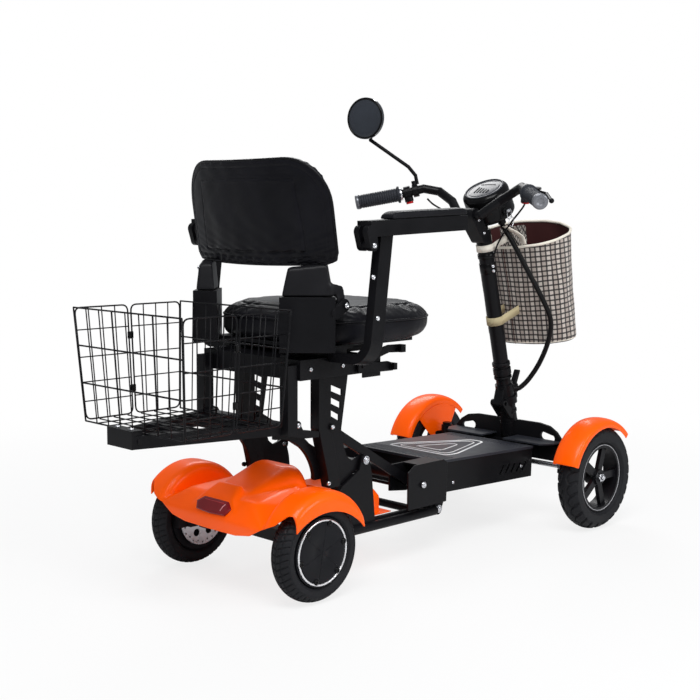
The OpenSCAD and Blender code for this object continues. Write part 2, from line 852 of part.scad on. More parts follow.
module stem_tube() {
    color(black) place() difference() {
        union() {
            stem_place() {
                translate([0, 0, fold_t + gap]) cylinder(h = stem_top - fold_t - gap, r = stem_r);
                translate([0, 0, fold_t + gap]) cylinder(h = 10, r = collar_r);
                translate([0, 0, fold_t + gap]) cylinder(h = 42, r = stem_r + 4);
                translate([0, 0, fold_t + 70]) cylinder(h = 16, r = stem_r + 4);
                yplate(-tongue_w / 2, tongue_w / 2)
                    capsule([hinge_x, fold_t], [-14, fold_t + 26], hinge_r, 10);
                ybar([hinge_x, fold_t], hinge_r, -tongue_w / 2, tongue_w / 2);
                ybar([hinge_x, fold_t], hinge_pin_r, -tongue_w / 2 - cheek_w, tongue_w / 2 + cheek_w);
                // cheeks that carry the latch
                both() yplate(8, 12) capsule([stem_r, latch_t], [latch_x, latch_t], 6, 6);
                ybar([latch_x, latch_t], 3, -12, 12);
                // gland of the cable loom
                translate([0, 0, gland_t]) rotate([0, 90, gland_turn]) cylinder(h = stem_r + 14, r = 9);
            }
            yplate(-20, 20) capsule(clamp_bar, clamp_foot, 17, 13);
        }
        ybar(clamp_bar, bar_r + fit, -21, 21);
        // room for the cheeks of the base
        stem_place() both() {
            ybar([hinge_x, fold_t], hinge_r + gap, tongue_w / 2 + 0.1, far);
            yplate(tongue_w / 2 + 0.1, far) hinge_room(1);
        }
        stem_place() translate([0, 0, stem_top + over]) cylinder(h = far, r = plug_r + gap);
    }
}

module stem_latch() {
    color(black) place() stem_place() difference() {
        union() {
            yplate(-7, 7) capsule([latch_x, latch_t], [latch_x, fold_t - 4], 5, 4);
            yplate(-7, 7) capsule([latch_x, latch_t], [latch_x + 24, latch_t + 30], 5, 4);
            ybar([latch_x, latch_t], 6, -7, 7);
        }
        ybar([latch_x, latch_t], 3 + fit, -8, 8);
    }
}

pod_c = [wheelbase - 97, 0, 790];
pod_tilt = 30;
pod_edge = 14;
pod_r = pod_d / 2;
glass_r = pod_r - 12;
key_p = [-16, -14];

// the pod's own frame: its round face is square to z
module pod_place() {
    translate(pod_c) rotate([0, -pod_tilt, 0]) children();
}

module dash_pod() {
    lock_y = sqrt(pow(pod_r, 2) - pow(key_p[0], 2));
    color(black) place() difference() {
        union() {
            pod_place() {
                rotate_extrude($fn = 72) {
                    translate([0, -pod_h / 2]) square([pod_r - pod_edge, pod_h]);
                    translate([0, -pod_h / 2 + pod_edge]) square([pod_r, pod_h - 2 * pod_edge]);
                    for (s = [-1, 1]) translate([pod_r - pod_edge, s * (pod_h / 2 - pod_edge)])
                        circle(pod_edge, $fn = 32);
                }
                // gland of the cable loom and lock of the key
                translate([-15, -34, -pod_h / 2 - 10]) cylinder(h = 14, r = 10);
                translate([key_p[0], 0, key_p[1]]) rotate([90, 0, 0]) cylinder(h = lock_y + 4, r = 10);
            }
            stem_place() translate([0, 0, stem_top + over + gap]) cylinder(h = 24, r = plug_r);
        }
        pod_place() translate([0, 0, pod_h / 2 - 4]) cylinder(h = far, r = glass_r);
    }
}

module display() {
    color(silver) place() pod_place() translate([0, 0, pod_h / 2 - 4])
        cylinder(h = 3.5, r = glass_r - gap);
}

module ignition_key() {
    lock_y = sqrt(pow(pod_r, 2) - pow(key_p[0], 2)) + 4;
    color(silver) place() pod_place() translate([key_p[0], -lock_y - gap, key_p[1]]) rotate([90, 0, 0]) {
        cylinder(h = 8, r = 3.5);
        translate([-1.5, 0, 15]) rotate([0, 90, 0]) cylinder(h = 3, r = 10);
    }
}

module handlebar() {
    color(black) place() {
        both() {
            bent_rod(bar_path, bar_r);
            // lever perch and button cup
            along(control_from, grip_from) {
                translate([0, 0, control_m - 8]) cylinder(h = 16, r = bar_r + 5);
                difference() {
                    translate([0, perch_y, control_m]) rotate([0, 90, 0]) translate([0, 0, -9])
                        cylinder(h = 18, r = 9);
                    translate([-5, perch_y - 15, control_m - 5.3]) cube([10, 24, 30]);
                }
                for (x = [-8.5, 5.5]) translate([x, perch_y + 3, control_m - 7]) cube([3, 14, 14]);
                translate([-8, perch_y, control_m]) rotate([0, 90, 0]) cylinder(h = 16, r = lever_pin_r);
                difference() {
                    translate([bar_r - 4, 0, control_m]) rotate([0, 90, 0]) cylinder(h = 16, r = 11);
                    translate([bar_r + 6, 0, control_m]) rotate([0, 90, 0]) cylinder(h = 12, r = 9.5);
                }
            }
        }
    }
}

module grips() {
    reach = norm(grip_to - grip_from);
    color(grey) place() both() along(grip_from, grip_to) difference() {
        union() {
            cylinder(h = grip_l, r = grip_d / 2);
            cylinder(h = 5, r = grip_d / 2 + 4);
            translate([0, 0, grip_l - 9]) cylinder(h = 9, r = grip_d / 2 + 1);
        }
        translate([0, 0, -over]) cylinder(h = reach + over + gap, r = bar_r + fit);
        translate([0, 0, -over]) cylinder(h = over + 3, r = bar_r + bend_out + gap);
    }
}

// a brake lever in front of a grip
module brake_lever() {
    pivot = [0, perch_y, 0];
    knee = [0, perch_y - 15, 26];
    tip = [3, perch_y - 11, 82];
    along(control_from, grip_from) translate([0, 0, control_m]) difference() {
        union() {
            translate(pivot - [4.7, 0, 0]) rotate([0, 90, 0]) cylinder(h = 9.4, r = 5);
            rod(pivot, knee, 4);
            rod(knee, tip, 4);
            translate(knee) sphere(4.2);
            translate(tip) sphere(6);
        }
        translate(pivot - [9, 0, 0]) rotate([0, 90, 0]) cylinder(h = 18, r = lever_pin_r + fit);
    }
}

module brake_lever_left() {
    color(black) place() brake_lever();
}

module brake_lever_right() {
    color(black) place() side(-1) brake_lever();
}

// thumb throttle between the right grip and its lever perch
module throttle() {
    color(dark) place() side(-1) along(control_from, grip_from) translate([0, 0, throttle_m]) difference() {
        union() {
            cylinder(h = 8, r = bar_r + 5);
            translate([0, 0, 1]) cube([bar_r + 12, bar_r + 4, 6]);
        }
        translate([0, 0, -over]) cylinder(h = 10, r = bar_r + gap);
    }
}

module button() {
    along(control_from, grip_from) translate([bar_r + 9.5, 0, control_m]) rotate([0, 90, 0])
        cylinder(h = 8, r = 9);
}

module horn_button() {
    color(red) place() button();
}

module speed_button() {
    color(red) place() side(-1) button();
}

mirror_c = [wheelbase - 287, 243, 997];
mirror_yaw = 13;
mirror_back = 26;
mirror_pivot = mirror_c + mirror_back * [cos(mirror_yaw), sin(mirror_yaw), 0];
swivel_h = 18;
swivel_r = 4;

module mirror_arm() {
    post_low = mirror_pivot - [0, 0, 52];
    shoulder = mirror_pivot - [0, 0, swivel_h / 2 + gap];
    color(black) place() {
        along(control_from, grip_from) difference() {
            union() {
                translate([0, 0, 14]) cylinder(h = 14, r = bar_r + 5);
                translate([-bar_r - 14, 0, 21]) rotate([0, 90, 0]) cylinder(h = 12, r = 6);
            }
            translate([0, 0, 13]) cylinder(h = 16, r = bar_r + fit);
        }
        bent_rod(concat(from_front([[-178, 165, 836], [-182, 168, 858], [-200, 176, 879]]), [post_low, shoulder]), 4.5);
        translate(mirror_pivot - [0, 0, swivel_h / 2 + over]) cylinder(h = swivel_h + over + 3, r = swivel_r);
    }
}

module rear_view_mirror() {
    color(dark) place() difference() {
        union() {
            translate(mirror_c) rotate([0, -90, mirror_yaw]) {
                translate([0, 0, -5]) cylinder(h = 8, r = mirror_d / 2);
                translate([0, 0, -14]) cylinder(h = 10, r1 = 20, r2 = mirror_d / 2 - 4);
                translate([0, 0, -mirror_back]) cylinder(h = mirror_back - 8, r = 6);
            }
            translate(mirror_pivot - [0, 0, swivel_h / 2]) cylinder(h = swivel_h, r = swivel_r + 4);
        }
        translate(mirror_pivot - [0, 0, swivel_h]) cylinder(h = 2 * swivel_h, r = swivel_r + fit);
    }
}

// ---- bag ----

bag_rim_l = 85;
rim_c = [wheelbase + 42, 0, 712];
rim_tilt = 24;

// an oval bucket around Z, drawn in by d
module bag_form(d) {
    points = 48;
    grow = bag_rim_l / bag_low_l;
    linear_extrude(height = bag_h + 40, scale = grow)
        polygon([for (i = [0:points - 1]) [(bag_low_l - d) * cos(i * 360 / points),
            (bag_half_w - d) * sin(i * 360 / points)]]);
}

module bag() {
    color(cream) place() difference() {
        translate(bag_low) rotate([0, -bag_lean, 0]) difference() {
            bag_form(0);
            translate([0, 0, bag_t]) bag_form(bag_t);
        }
        translate(rim_c) rotate([0, -rim_tilt, 0]) translate([-far / 2, -far / 2, 0]) cube([far, far, far]);
    }
}

strap_t = 295;
strap_w = 22;
band_t = 486;

// strap around the tiller low down and a band from the rim
module bag_strap() {
    strap_r = stem_r + gap;
    color(cream) place() {
        difference() {
            stem_place() {
                for (p = [[strap_t, strap_w], [band_t, strap_w - 4]]) translate([0, 0, p[0]]) difference() {
                    union() {
                        cylinder(h = p[1], r = strap_r + 2.5);
                        translate([0, -strap_r - 2.5, 0]) cube([170, 2 * strap_r + 5, p[1]]);
                    }
                    translate([0, 0, -over]) cylinder(h = p[1] + 2 * over, r = strap_r);
                    translate([0, -strap_r, -over]) cube([171, 2 * strap_r, p[1] + 2 * over]);
                }
            }
            translate(bag_low) rotate([0, -bag_lean, 0]) bag_form(-gap);
        }
    }
}

// ---- cables ----

// the tiller frame's point [x, y, t] in the rear-axle frame
function stem_at(p) = [stem_foot[0] + p[0] * cos(lean) - p[2] * sin(lean), p[1],
    stem_foot[2] + p[0] * sin(lean) + p[2] * cos(lean)];
function pod_at(p) = [pod_c[0] + p[0] * cos(pod_tilt) - p[2] * sin(pod_tilt), p[1],
    pod_c[2] + p[0] * sin(pod_tilt) + p[2] * cos(pod_tilt)];

loom_r = 6.5;
wire_r = 2.2;
loom_start = pod_at([-15, -34, -pod_h / 2 - 10 - gap]);
loom_end = stem_at([(stem_r + 14 + gap) * cos(gland_turn), (stem_r + 14 + gap) * sin(gland_turn), gland_t]);
// the loom leaves both glands square
loom_out = pod_at([-15, -34, -pod_h / 2 - 20 - gap]) - pod_at([-15, -34, -pod_h / 2 - 10 - gap]);
loom_in = (loom_end - stem_at([0, 0, gland_t])) / norm(loom_end - stem_at([0, 0, gland_t]));
loom_path = concat([loom_start, loom_start + 0.4 * loom_out, loom_start + 1.1 * loom_out],
    from_front([[-75, -58, 695], [-62, -84, 643], [-10, -110, 546], [19, -112, 494], [33, -95, 441],
    [39, -66, 385], [31, -42, 341]]), [loom_end + 9 * loom_in, loom_end + 4 * loom_in, loom_end]);
wire_path = from_front([[-156, 150, 800], [-142, 142, 786], [-126, 116, 768], [-114, 84, 744],
    [-106, 52, 712], [-99, 30, 686], [-99, 22, 664]]);

function catmull(a, b, c, d, t) = 0.5 * (2 * b + (c - a) * t + (2 * a - 5 * b + 4 * c - d) * t * t
    + (3 * b - a - 3 * c + d) * t * t * t);
function smooth(p, steps) = concat([for (i = [0:len(p) - 2]) for (k = [0:steps - 1])
    catmull(p[max(i - 1, 0)], p[i], p[i + 1], p[min(i + 2, len(p) - 1)], k / steps)], [p[len(p) - 1]]);
function unit(v) = v / norm(v);
function heading(p, i) = unit(p[min(i + 1, len(p) - 1)] - p[max(i - 1, 0)]);

// a tube swept along a path
module cord(path, r, steps, sides) {
    p = smooth(path, steps);
    n = len(p);
    rings = [for (i = [0:n - 1]) let (
            d = heading(p, i),
            u = unit(cross(d, [0, 0.2, 1])),
            v = cross(d, u)
        ) for (k = [0:sides - 1]) p[i] + r * (cos(k * 360 / sides) * u + sin(k * 360 / sides) * v)];
    faces = [for (i = [0:n - 2]) for (k = [0:sides - 1])
        [i * sides + k, (i + 1) * sides + k, (i + 1) * sides + (k + 1) % sides, i * sides + (k + 1) % sides]];
    polyhedron(rings, concat([[for (k = [0:sides - 1]) k]], faces,
        [[for (k = [sides - 1:-1:0]) (n - 1) * sides + k]]));
}

module cables() {
    color(black) place() {
        cord(loom_path, loom_r, 4, 10);
        both() cord(wire_path, wire_r, 3, 8);
    }
}

// ---- seat frame ----

leg_in = 105.5;
leg_out = 130.5;
plate_in = 120.5;
plate_out = 124.5;
box_rear = 2;
box_front = 184;
box_low = 434;
box_high = 475;
box_w = 300;
box_t = 4;
slide_y = 92;
slide_w = 16;
slide_h = 7;
lever_y = -box_w / 2 - 3;
slide_pivot = [205, 472];
fold_pivot = [172, 450];
lever_t = 5;

module seat_legs() {
    color(black) place() both() difference() {
        union() {
            yplate(leg_in, leg_out) polygon([[72, box_low - gap], [106, box_low - gap], [106, 327],
                [130, 236], [134, foot_z], [104, foot_z], [96, 236], [72, 327]]);
            yplate(plate_in, plate_out) polygon([[100, box_low - gap], [161, box_low - gap], [159, 419],
                [142, 318], [150, 280], [159, 258], [172, 248], [178, 226], [176, foot_z], [110, foot_z],
                [110, 300], [100, 327]]);
            yplate(plate_in, plate_out) capsule([166, 232], leg_pivot, 14, 12);
            ybar(leg_pivot, 12, plate_in, plate_out);
            ybar(link_pivot, pin_r, link_y - 3, plate_in + over);
            ybar([107, 328], 7, leg_out - over, leg_out + 4);
            ybar([97, 212], 5, leg_out - over, leg_out + 3);
        }
        ybar(leg_pivot, pin_r + fit, plate_in - over, plate_out + over);
        // slots in the plate
        for (z = [414, 388, 362]) {
            front = 143 - (414 - z) * 0.15;
            yplate(plate_in - over, plate_out + over)
                polygon([[111, z], [front, z - 13], [front, z - 26], [111, z - 13]]);
        }
    }
}

module seat_box() {
    inner = box_w - 2 * box_t;
    color(black) place() {
        difference() {
            translate([box_rear, -box_w / 2, box_low]) cube([box_front - box_rear, box_w, box_high - box_low]);
            translate([box_rear + box_t, -inner / 2, box_low - over])
                cube([box_front - box_rear - 2 * box_t, inner, box_high - box_low - box_t + over]);
        }
        // landing for the legs
        both() translate([box_rear + over, leg_in - 6, box_low])
            cube([box_front - box_rear - 2 * over, leg_out - leg_in + 12, 6]);
        // slides, and the arms ahead of the box that carry the levers
        both() translate([box_rear, slide_y, box_high]) cube([250, slide_w, slide_h]);
        both() translate([box_front - 4, box_w / 2 - box_t, box_low - 10])
            cube([52, box_t, box_high - box_low + 10]);
        ybar(slide_pivot, 4, lever_y - lever_t - 3, -box_w / 2 + over);
        ybar(fold_pivot, 4, lever_y - lever_t - 3, -box_w / 2 + over);
    }
}

module slide_lever() {
    color(black) place() difference() {
        union() {
            yplate(lever_y - lever_t, lever_y) polygon([[192, 464], [218, 464], [250, 472], [286, 470],
                [293, 475], [289, 487], [250, 488], [214, 481], [192, 481]]);
            translate([276, lever_y - 16, 471]) cube([14, 16, 16]);
        }
        ybar(slide_pivot, 4 + fit, lever_y - lever_t - over, lever_y + over);
    }
}

module fold_lever() {
    color(black) place() difference() {
        union() {
            yplate(lever_y - lever_t, lever_y) polygon([[158, 438], [158, 454], [165, 461], [184, 461], [214, 454],
                [248, 454], [266, 448], [272, 442], [262, 433], [214, 434]]);
            translate([254, lever_y - 16, 436]) cube([10, 16, 14]);
        }
        ybar(fold_pivot, 4 + fit, lever_y - lever_t - over, lever_y + over);
    }
}

// ---- rack and crate ----

rack_z = 325;
rack_h = 25;
rack_t = 22;
rack_rear_y = 30;
rack_front_y = 119;
post_x = box_rear - gap - 26;
crate_rear = -305;
crate_front = -41;
crate_low = rack_z + rack_h + gap;
crate_lean = 3.5;

module rack() {
    run = [rack_rear_x * -1, rack_front_y - rack_rear_y];
    turn = atan2(run[1], run[0]);
    color(black) place() {
        both() {
            // side channel, post under the seat box and arm to the leg
            translate([rack_rear_x + 8, rack_rear_y - 12, rack_z]) rotate([0, 0, turn])
                cube([norm(run) - 8, rack_t, rack_h]);
            translate([post_x, rack_front_y, rack_z]) cube([26, 24, box_high - 10 - rack_z]);
            yplate(rack_front_y + 4, rack_front_y + 12) polygon([[post_x, rack_z], [post_x, rack_z + rack_h],
                [16, rack_z + rack_h], [28, rack_z + 6], [72 - gap, rack_z - 2], [72 - gap, rack_z - 14],
                [34, rack_z - 12]]);
            // curved brace beside the leg
            yplate(leg_in - 10, leg_in - gap) brace();
            ybar([10, rack_z + 18], 9, rack_front_y + 12 - over, rack_front_y + 16);
            ybar([rack_rear_x + 16, rack_z + 14], 6, rack_rear_y - 12, rack_rear_y + 14);
        }
        translate([rack_rear_x, -rack_rear_y - 10, rack_z]) cube([24, 2 * rack_rear_y + 20, rack_h + 10]);
        for (x = [-200, -90]) translate([x, -rack_rear_y - (x - rack_rear_x) * run[1] / run[0], rack_z + 4])
            cube([24, 2 * rack_rear_y + 2 * (x - rack_rear_x) * run[1] / run[0], rack_h - 4]);
        translate([post_x, -rack_front_y - 2, rack_z + 2]) cube([26, 2 * rack_front_y + 4, 20]);
    }
}

// an arc of a flat bar, bending down towards the foot
module brace() {
    c = [-23, 206];
    inner = 108;
    outer = 128;
    difference() {
        translate(c) circle(outer, $fn = 96);
        translate(c) circle(inner, $fn = 96);
        translate([-far, -far]) square([far + post_x, 2 * far]);
        translate([-far / 2, -far + 216]) square([far, far]);
    }
}

// an upright panel of wires in Y and Z with its foot at z = 0, wider at the top by 2 * flare
module wire_panel(w, h, flare) {
    difference() {
        polygon([[-w / 2, 0], [w / 2, 0], [w / 2 + flare, h], [-w / 2 - flare, h]]);
        columns = round(w / crate_pitch);
        rows = round(h / crate_pitch);
        cell = [(w - crate_t) / columns, (h - crate_t) / rows];
        for (i = [0:columns - 1]) for (k = [0:rows - 1])
            translate([-w / 2 + crate_t + i * cell[0], crate_t + k * cell[1]])
                square([cell[0] - crate_t, cell[1] - crate_t]);
    }
}

module basket() {
    flare = crate_h * tan(crate_lean);
    wall_h = crate_h / cos(crate_lean);
    low_w = crate_w - 2 * flare;
    low_rear = crate_rear + flare;
    low_l = crate_front - crate_rear - 2 * flare;
    // the walls cross inside each other's thickness at the corners
    color(black) place() translate([low_rear + low_l / 2, 0, crate_low]) {
        for (s = [-1, 1]) {
            translate([s * low_l / 2, 0, 0]) rotate([0, s * crate_lean, 0])
                xplate(s > 0 ? -crate_t : 0, s > 0 ? 0 : crate_t) wire_panel(low_w - crate_t, wall_h, flare);
            translate([0, s * low_w / 2, 0]) rotate([-s * crate_lean, 0, 0])
                yplate(s > 0 ? -crate_t : 0, s > 0 ? 0 : crate_t) wire_panel(low_l - 0.6 * crate_t, wall_h, flare);
        }
        translate([0, 0, crate_t / 2]) linear_extrude(crate_t) square_grid(low_l - crate_t, low_w - crate_t);
    }
}

// a flat grid centred on the origin
module square_grid(l, w) {
    columns = round(l / crate_pitch);
    rows = round(w / crate_pitch);
    cell = [(l - crate_t) / columns, (w - crate_t) / rows];
    difference() {
        square([l, w], center = true);
        for (i = [0:columns - 1]) for (k = [0:rows - 1])
            translate([-l / 2 + crate_t + i * cell[0], -w / 2 + crate_t + k * cell[1]])
                square([cell[0] - crate_t, cell[1] - crate_t]);
    }
}

// ---- seat ----

cushion_z = 500;
cushion_x = 40;
pan_high = cushion_z - gap;
rear_corner = 128;
front_corner = 160;
nose_rise = 170;
nose_up = 20;
pan_t = 8;
post_y = 257;
post_w = 34;
post_t = 20;
post_lean = 7.3;
post_foot = [92, 475];
bend_r = 50;
arm_z = 717;
arm_x = 70;
arm_rise = 2.3;
arm_pivot = [78, 701];
tongue_t = 10;
lug_gap = 0.5;
block_c = [17, 155];
block_l = 109;
block_w = 50;
block_high = 600;
back_pivot = [66, 583];
ear_plate_t = 6;
back_ear_y = 197;

// the armrest beam's own frame: x along the beam, z = 0 at its underside
module arm_place() {
    translate([arm_x, post_y, arm_z]) rotate([0, -arm_rise, 0]) children();
}

// a bent armrest post, drawn upright over its foot
module arm_post() {
    low = post_foot[1] - post_t / 2;
    rise = arm_z + 12;
    intersection() {
        translate([post_foot[0], 0, post_foot[1]]) rotate([0, post_lean, 0])
            translate([-post_foot[0], 0, -post_foot[1]]) {
            xplate(post_foot[0] - post_w / 2, post_foot[0] + post_w / 2) {
                translate([post_y - post_t / 2, low + bend_r]) square([post_t, rise - low - bend_r]);
                translate([box_w / 2 + 3, low]) square([post_y + post_t / 2 - bend_r - box_w / 2 - 3, post_t]);
                translate([post_y + post_t / 2 - bend_r, low + bend_r]) difference() {
                    circle(bend_r, $fn = 64);
                    circle(bend_r - post_t, $fn = 64);
                    translate([-far, -far]) square([far, 2 * far]);
                    translate([-far, 0]) square([2 * far, far]);
                }
            }
        }
        arm_place() translate([-far / 2, -far / 2, -gap - far]) cube([far, far, far]);
    }
}

// a block behind the seat that carries a backrest column, square to the diagonal
module diagonal_place() {
    translate([block_c[0], block_c[1], 0]) rotate([0, 0, 45]) children();
}

module seat_pan() {
    plate_w = box_w + 44;
    pan_w = box_w - 8;
    color(black) place() difference() {
        union() {
            translate([cushion_x + 8, -pan_w / 2, pan_high - pan_t])
                cube([cushion_l - 80, pan_w, pan_t]);
            both() {
                // shelf that reaches out over the posts
                translate([cushion_x + 8, pan_w / 2 - over, pan_high - pan_t])
                    cube([post_foot[0] + post_w - cushion_x - 8, (plate_w - pan_w) / 2 + over, pan_t]);
                // runner on the slide
                translate([cushion_x + 14, slide_y - 2, box_high + slide_h + gap])
                    cube([200, slide_w + 4, pan_high - box_high - slide_h - gap - over]);
                arm_post();
                // seat of the post under the plate
                translate([post_foot[0] - post_w / 2, box_w / 2 + 3, post_foot[1]])
                    cube([post_w, plate_w / 2 - box_w / 2 - 3, pan_high - post_foot[1] - over]);
                // hinge tongue of the armrest
                yplate(post_y - tongue_t / 2, post_y + tongue_t / 2) capsule(arm_pivot, [112, 704], 10, 10);
                ybar(arm_pivot, pin_r - 1, post_y - arm_w / 2 + 1, post_y + arm_w / 2 - 1);
                // back block on its bracket
                diagonal_place() translate([-block_l / 2, -block_w / 2, pan_high - pan_t])
                    cube([block_l, block_w, block_high - pan_high + pan_t]);
                for (y = [back_ear_y - ear_plate_t - lug_gap, back_ear_y + ear_plate_t + lug_gap])
                    yplate(y, y + ear_plate_t) capsule(back_pivot, back_pivot - [24, 14], 13, 11);
                ybar(back_pivot, 4, back_ear_y - ear_plate_t, back_ear_y + 2 * ear_plate_t + 4);
            }
        }
        // the cushion's round corner passes beside the block
        both() translate([cushion_x + rear_corner, cushion_w / 2 - rear_corner, pan_high])
            cylinder(h = far, r = rear_corner + gap, $fn = 96);
    }
}

// height above the underside and inset of the rings that round the cushion's edge
cushion_edge = [[0, 14], [7, 4], [18, 0], [48, 0], [60, 5], [68, 14], [72, 28]];
corner_steps = 12;

// one ring of the cushion, from its rear over the left side to the nose and back over the right side
function cushion_half(d) = concat(
    [for (i = [0:corner_steps]) [cushion_x + rear_corner, cushion_w / 2 - rear_corner]
        + (rear_corner - d) * [cos(180 - 90 * i / corner_steps), sin(180 - 90 * i / corner_steps)]],
    [for (i = [0:corner_steps]) [cushion_x + cushion_l - front_corner, cushion_w / 2 - front_corner]
        + (front_corner - d) * [cos(90 - 90 * i / corner_steps), sin(90 - 90 * i / corner_steps)]]);
// the underside rises towards the nose
function cushion_lift(x) = max(0, nose_up * (x - cushion_x - cushion_l + nose_rise) / nose_rise);
function cushion_ring(e) = let (
        half = cushion_half(e[1]),
        up = e[0] / cushion_edge[len(cushion_edge) - 1][0],
        left = [for (p = half) [p[0], p[1], cushion_z + up * cushion_h + (1 - up) * cushion_lift(p[0])]]
    ) concat(left, [for (i = [len(left) - 1:-1:0]) [left[i][0], -left[i][1], left[i][2]]]);

module seat_cushion() {
    n = 4 * (corner_steps + 1);
    top = (len(cushion_edge) - 1) * n;
    points = [for (e = cushion_edge) each cushion_ring(e)];
    sides = [for (j = [0:len(cushion_edge) - 2]) for (i = [0:n - 1]) let (
            a = j * n + i,
            b = j * n + (i + 1) % n
        ) each [[a, b, b + n], [a, b + n, a + n]]];
    caps = [for (i = [0:n / 2 - 2]) each [
        [top + i, top + i + 1, top + n - 2 - i], [top + i, top + n - 2 - i, top + n - 1 - i],
        [n - 1 - i, n - 2 - i, i + 1], [n - 1 - i, i + 1, i]]];
    color(dark) place() polyhedron(points, concat(sides, caps));
}

pad_c = [0, 0, 658];
pad_lean = 9;
// radii of the pad's rear and front faces
pad_curve = 560;
pad_front_curve = 1050;
pad_corner = 95;

// the backrest pad's own frame: z = 0 at its lower edge
module pad_place() {
    translate(pad_c) rotate([0, -pad_lean, 0]) children();
}

module backrest_pad() {
    color(dark) place() pad_place() intersection() {
        difference() {
            translate([pad_curve, 0, 0]) cylinder(h = back_h, r = pad_curve, $fn = 180);
            translate([back_t + pad_front_curve, 0, -over])
                cylinder(h = back_h + 2 * over, r = pad_front_curve, $fn = 180);
        }
        xplate(-over, 140) hull() for (s = [-1, 1]) {
            translate([s * (back_w / 2 - pad_corner), back_h - pad_corner]) circle(pad_corner, $fn = 48);
            translate([s * (back_w / 2 - 14), 14]) circle(14, $fn = 32);
        }
    }
}

module backrest_frame() {
    column_low = [100, 38];
    column_high = [78, 28];
    color(black) place() both() difference() {
        union() {
            difference() {
                hull() {
                    diagonal_place() translate([-column_low[0] / 2, -column_low[1] / 2, block_high + gap])
                        cube([column_low[0], column_low[1], 2]);
                    pad_place() translate([block_c[0], block_c[1], -over - gap]) rotate([0, 0, 45])
                        translate([-column_high[0] / 2, -column_high[1] / 2, 0])
                        cube([column_high[0], column_high[1], over]);
                }
                // the lower edge passes over the block as the back folds
                ybar(back_pivot, block_high - back_pivot[1] + 4, 0, far);
            }
            yplate(back_ear_y, back_ear_y + ear_plate_t) {
                capsule(back_pivot, back_pivot + [-5, 30], 12, 10);
                capsule(back_pivot + [-5, 30], back_pivot + [-24, 34], 10, 10);
            }
        }
        ybar(back_pivot, 4 + fit, back_ear_y - over, back_ear_y + ear_plate_t + over);
    }
}

// ---- armrests ----

module armrest() {
    cheek_t = (arm_w - tongue_t) / 2 - lug_gap;
    difference() {
        union() {
            arm_place() translate([0, -arm_w / 2, 0]) cube([arm_l, arm_w, arm_h]);
            for (y = [post_y - arm_w / 2, post_y + tongue_t / 2 + lug_gap])
                yplate(y, y + cheek_t) {
                    capsule(arm_pivot, [arm_pivot[0] - 6, arm_z + 10], 11, 13);
                    circle_at(arm_pivot, 11);
                }
        }
        ybar(arm_pivot, pin_r - 1 + fit, 0, far);
    }
}

module circle_at(p, r) {
    translate(p) circle(r);
}

module armrest_pad() {
    pad_x = 62;
    arm_place() yplate(-arm_w / 2, arm_w / 2) polygon([[pad_x, arm_h + gap], [pad_x + 4, arm_h + arm_pad_t - 5],
        [pad_x + 16, arm_h + arm_pad_t], [arm_l - 8, arm_h + arm_pad_t],
        [arm_l, arm_h + arm_pad_t - 6], [arm_l, arm_h + gap]]);
}

module armrest_left() {
    color(black) place() armrest();
}

module armrest_right() {
    color(black) place() side(-1) armrest();
}

module armrest_pad_left() {
    color(dark) place() armrest_pad();
}

module armrest_pad_right() {
    color(dark) place() side(-1) armrest_pad();
}

deck_tray();
deck_plate();
battery_pack();
rear_brackets();
front_beam();
wing_plates();
rail_frame();
rear_axle();
rear_cover();
tail_light();
frame_cover();
fold_pins();
brake_caliper();
rear_tyre_left();
hub_motor_left();
brake_disc();
rear_tyre_right();
hub_motor_right();
front_tyre_left();
front_rim_left();
front_tyre_right();
front_rim_right();
knuckle_left();
knuckle_right();
front_fender_left();
front_fender_right();
tie_rod();
steering_base();
stem_tube();
stem_latch();
dash_pod();
display();
handlebar();
grips();
brake_lever_left();
brake_lever_right();
throttle();
horn_button();
speed_button();
ignition_key();
mirror_arm();
rear_view_mirror();
bag();
bag_strap();
cables();
seat_legs();
seat_box();
rack();
basket();
fold_links();
seat_pan();
seat_cushion();
backrest_frame();
backrest_pad();
armrest_left();
armrest_right();
armrest_pad_left();
armrest_pad_right();
slide_lever();
fold_lever();
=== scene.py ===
"""Looks of a folding mobility scooter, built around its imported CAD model. Metres, +X forward, +Z up."""

import json
from math import asin, atan2, cos, degrees, pi, radians, sin, sqrt, tan

import bmesh
import bpy
import numpy as np
from mathutils import Matrix, Vector
from numpy.linalg import norm


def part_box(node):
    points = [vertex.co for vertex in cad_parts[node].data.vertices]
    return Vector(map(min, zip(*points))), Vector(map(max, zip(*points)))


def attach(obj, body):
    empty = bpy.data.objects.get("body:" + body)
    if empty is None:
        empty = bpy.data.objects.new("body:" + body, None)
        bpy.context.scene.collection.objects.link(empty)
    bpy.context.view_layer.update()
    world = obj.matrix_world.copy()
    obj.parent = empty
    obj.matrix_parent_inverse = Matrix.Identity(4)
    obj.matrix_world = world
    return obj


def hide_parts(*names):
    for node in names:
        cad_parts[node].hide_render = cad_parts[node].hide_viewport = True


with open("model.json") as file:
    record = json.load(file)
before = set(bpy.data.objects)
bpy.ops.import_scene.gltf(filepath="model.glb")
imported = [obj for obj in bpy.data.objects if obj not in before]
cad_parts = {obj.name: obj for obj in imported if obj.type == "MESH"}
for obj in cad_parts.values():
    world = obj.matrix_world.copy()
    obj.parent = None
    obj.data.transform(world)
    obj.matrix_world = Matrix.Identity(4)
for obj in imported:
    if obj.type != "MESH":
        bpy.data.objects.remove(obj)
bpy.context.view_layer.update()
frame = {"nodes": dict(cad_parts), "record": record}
NODES = frame["nodes"]
BODY_OF = {node: body for body, nodes in frame["record"]["behaviour"]["bodies"].items() for node in nodes}
SCENE = bpy.context.scene
MM = 0.001
MID_X = 364.72  # the source measures from the rear axle, this far behind the row frame's origin
LEFT, RIGHT, UP = (0, 1, 0), (0, -1, 0), (0, 0, 1)
SIDES = (("left", 1), ("right", -1))
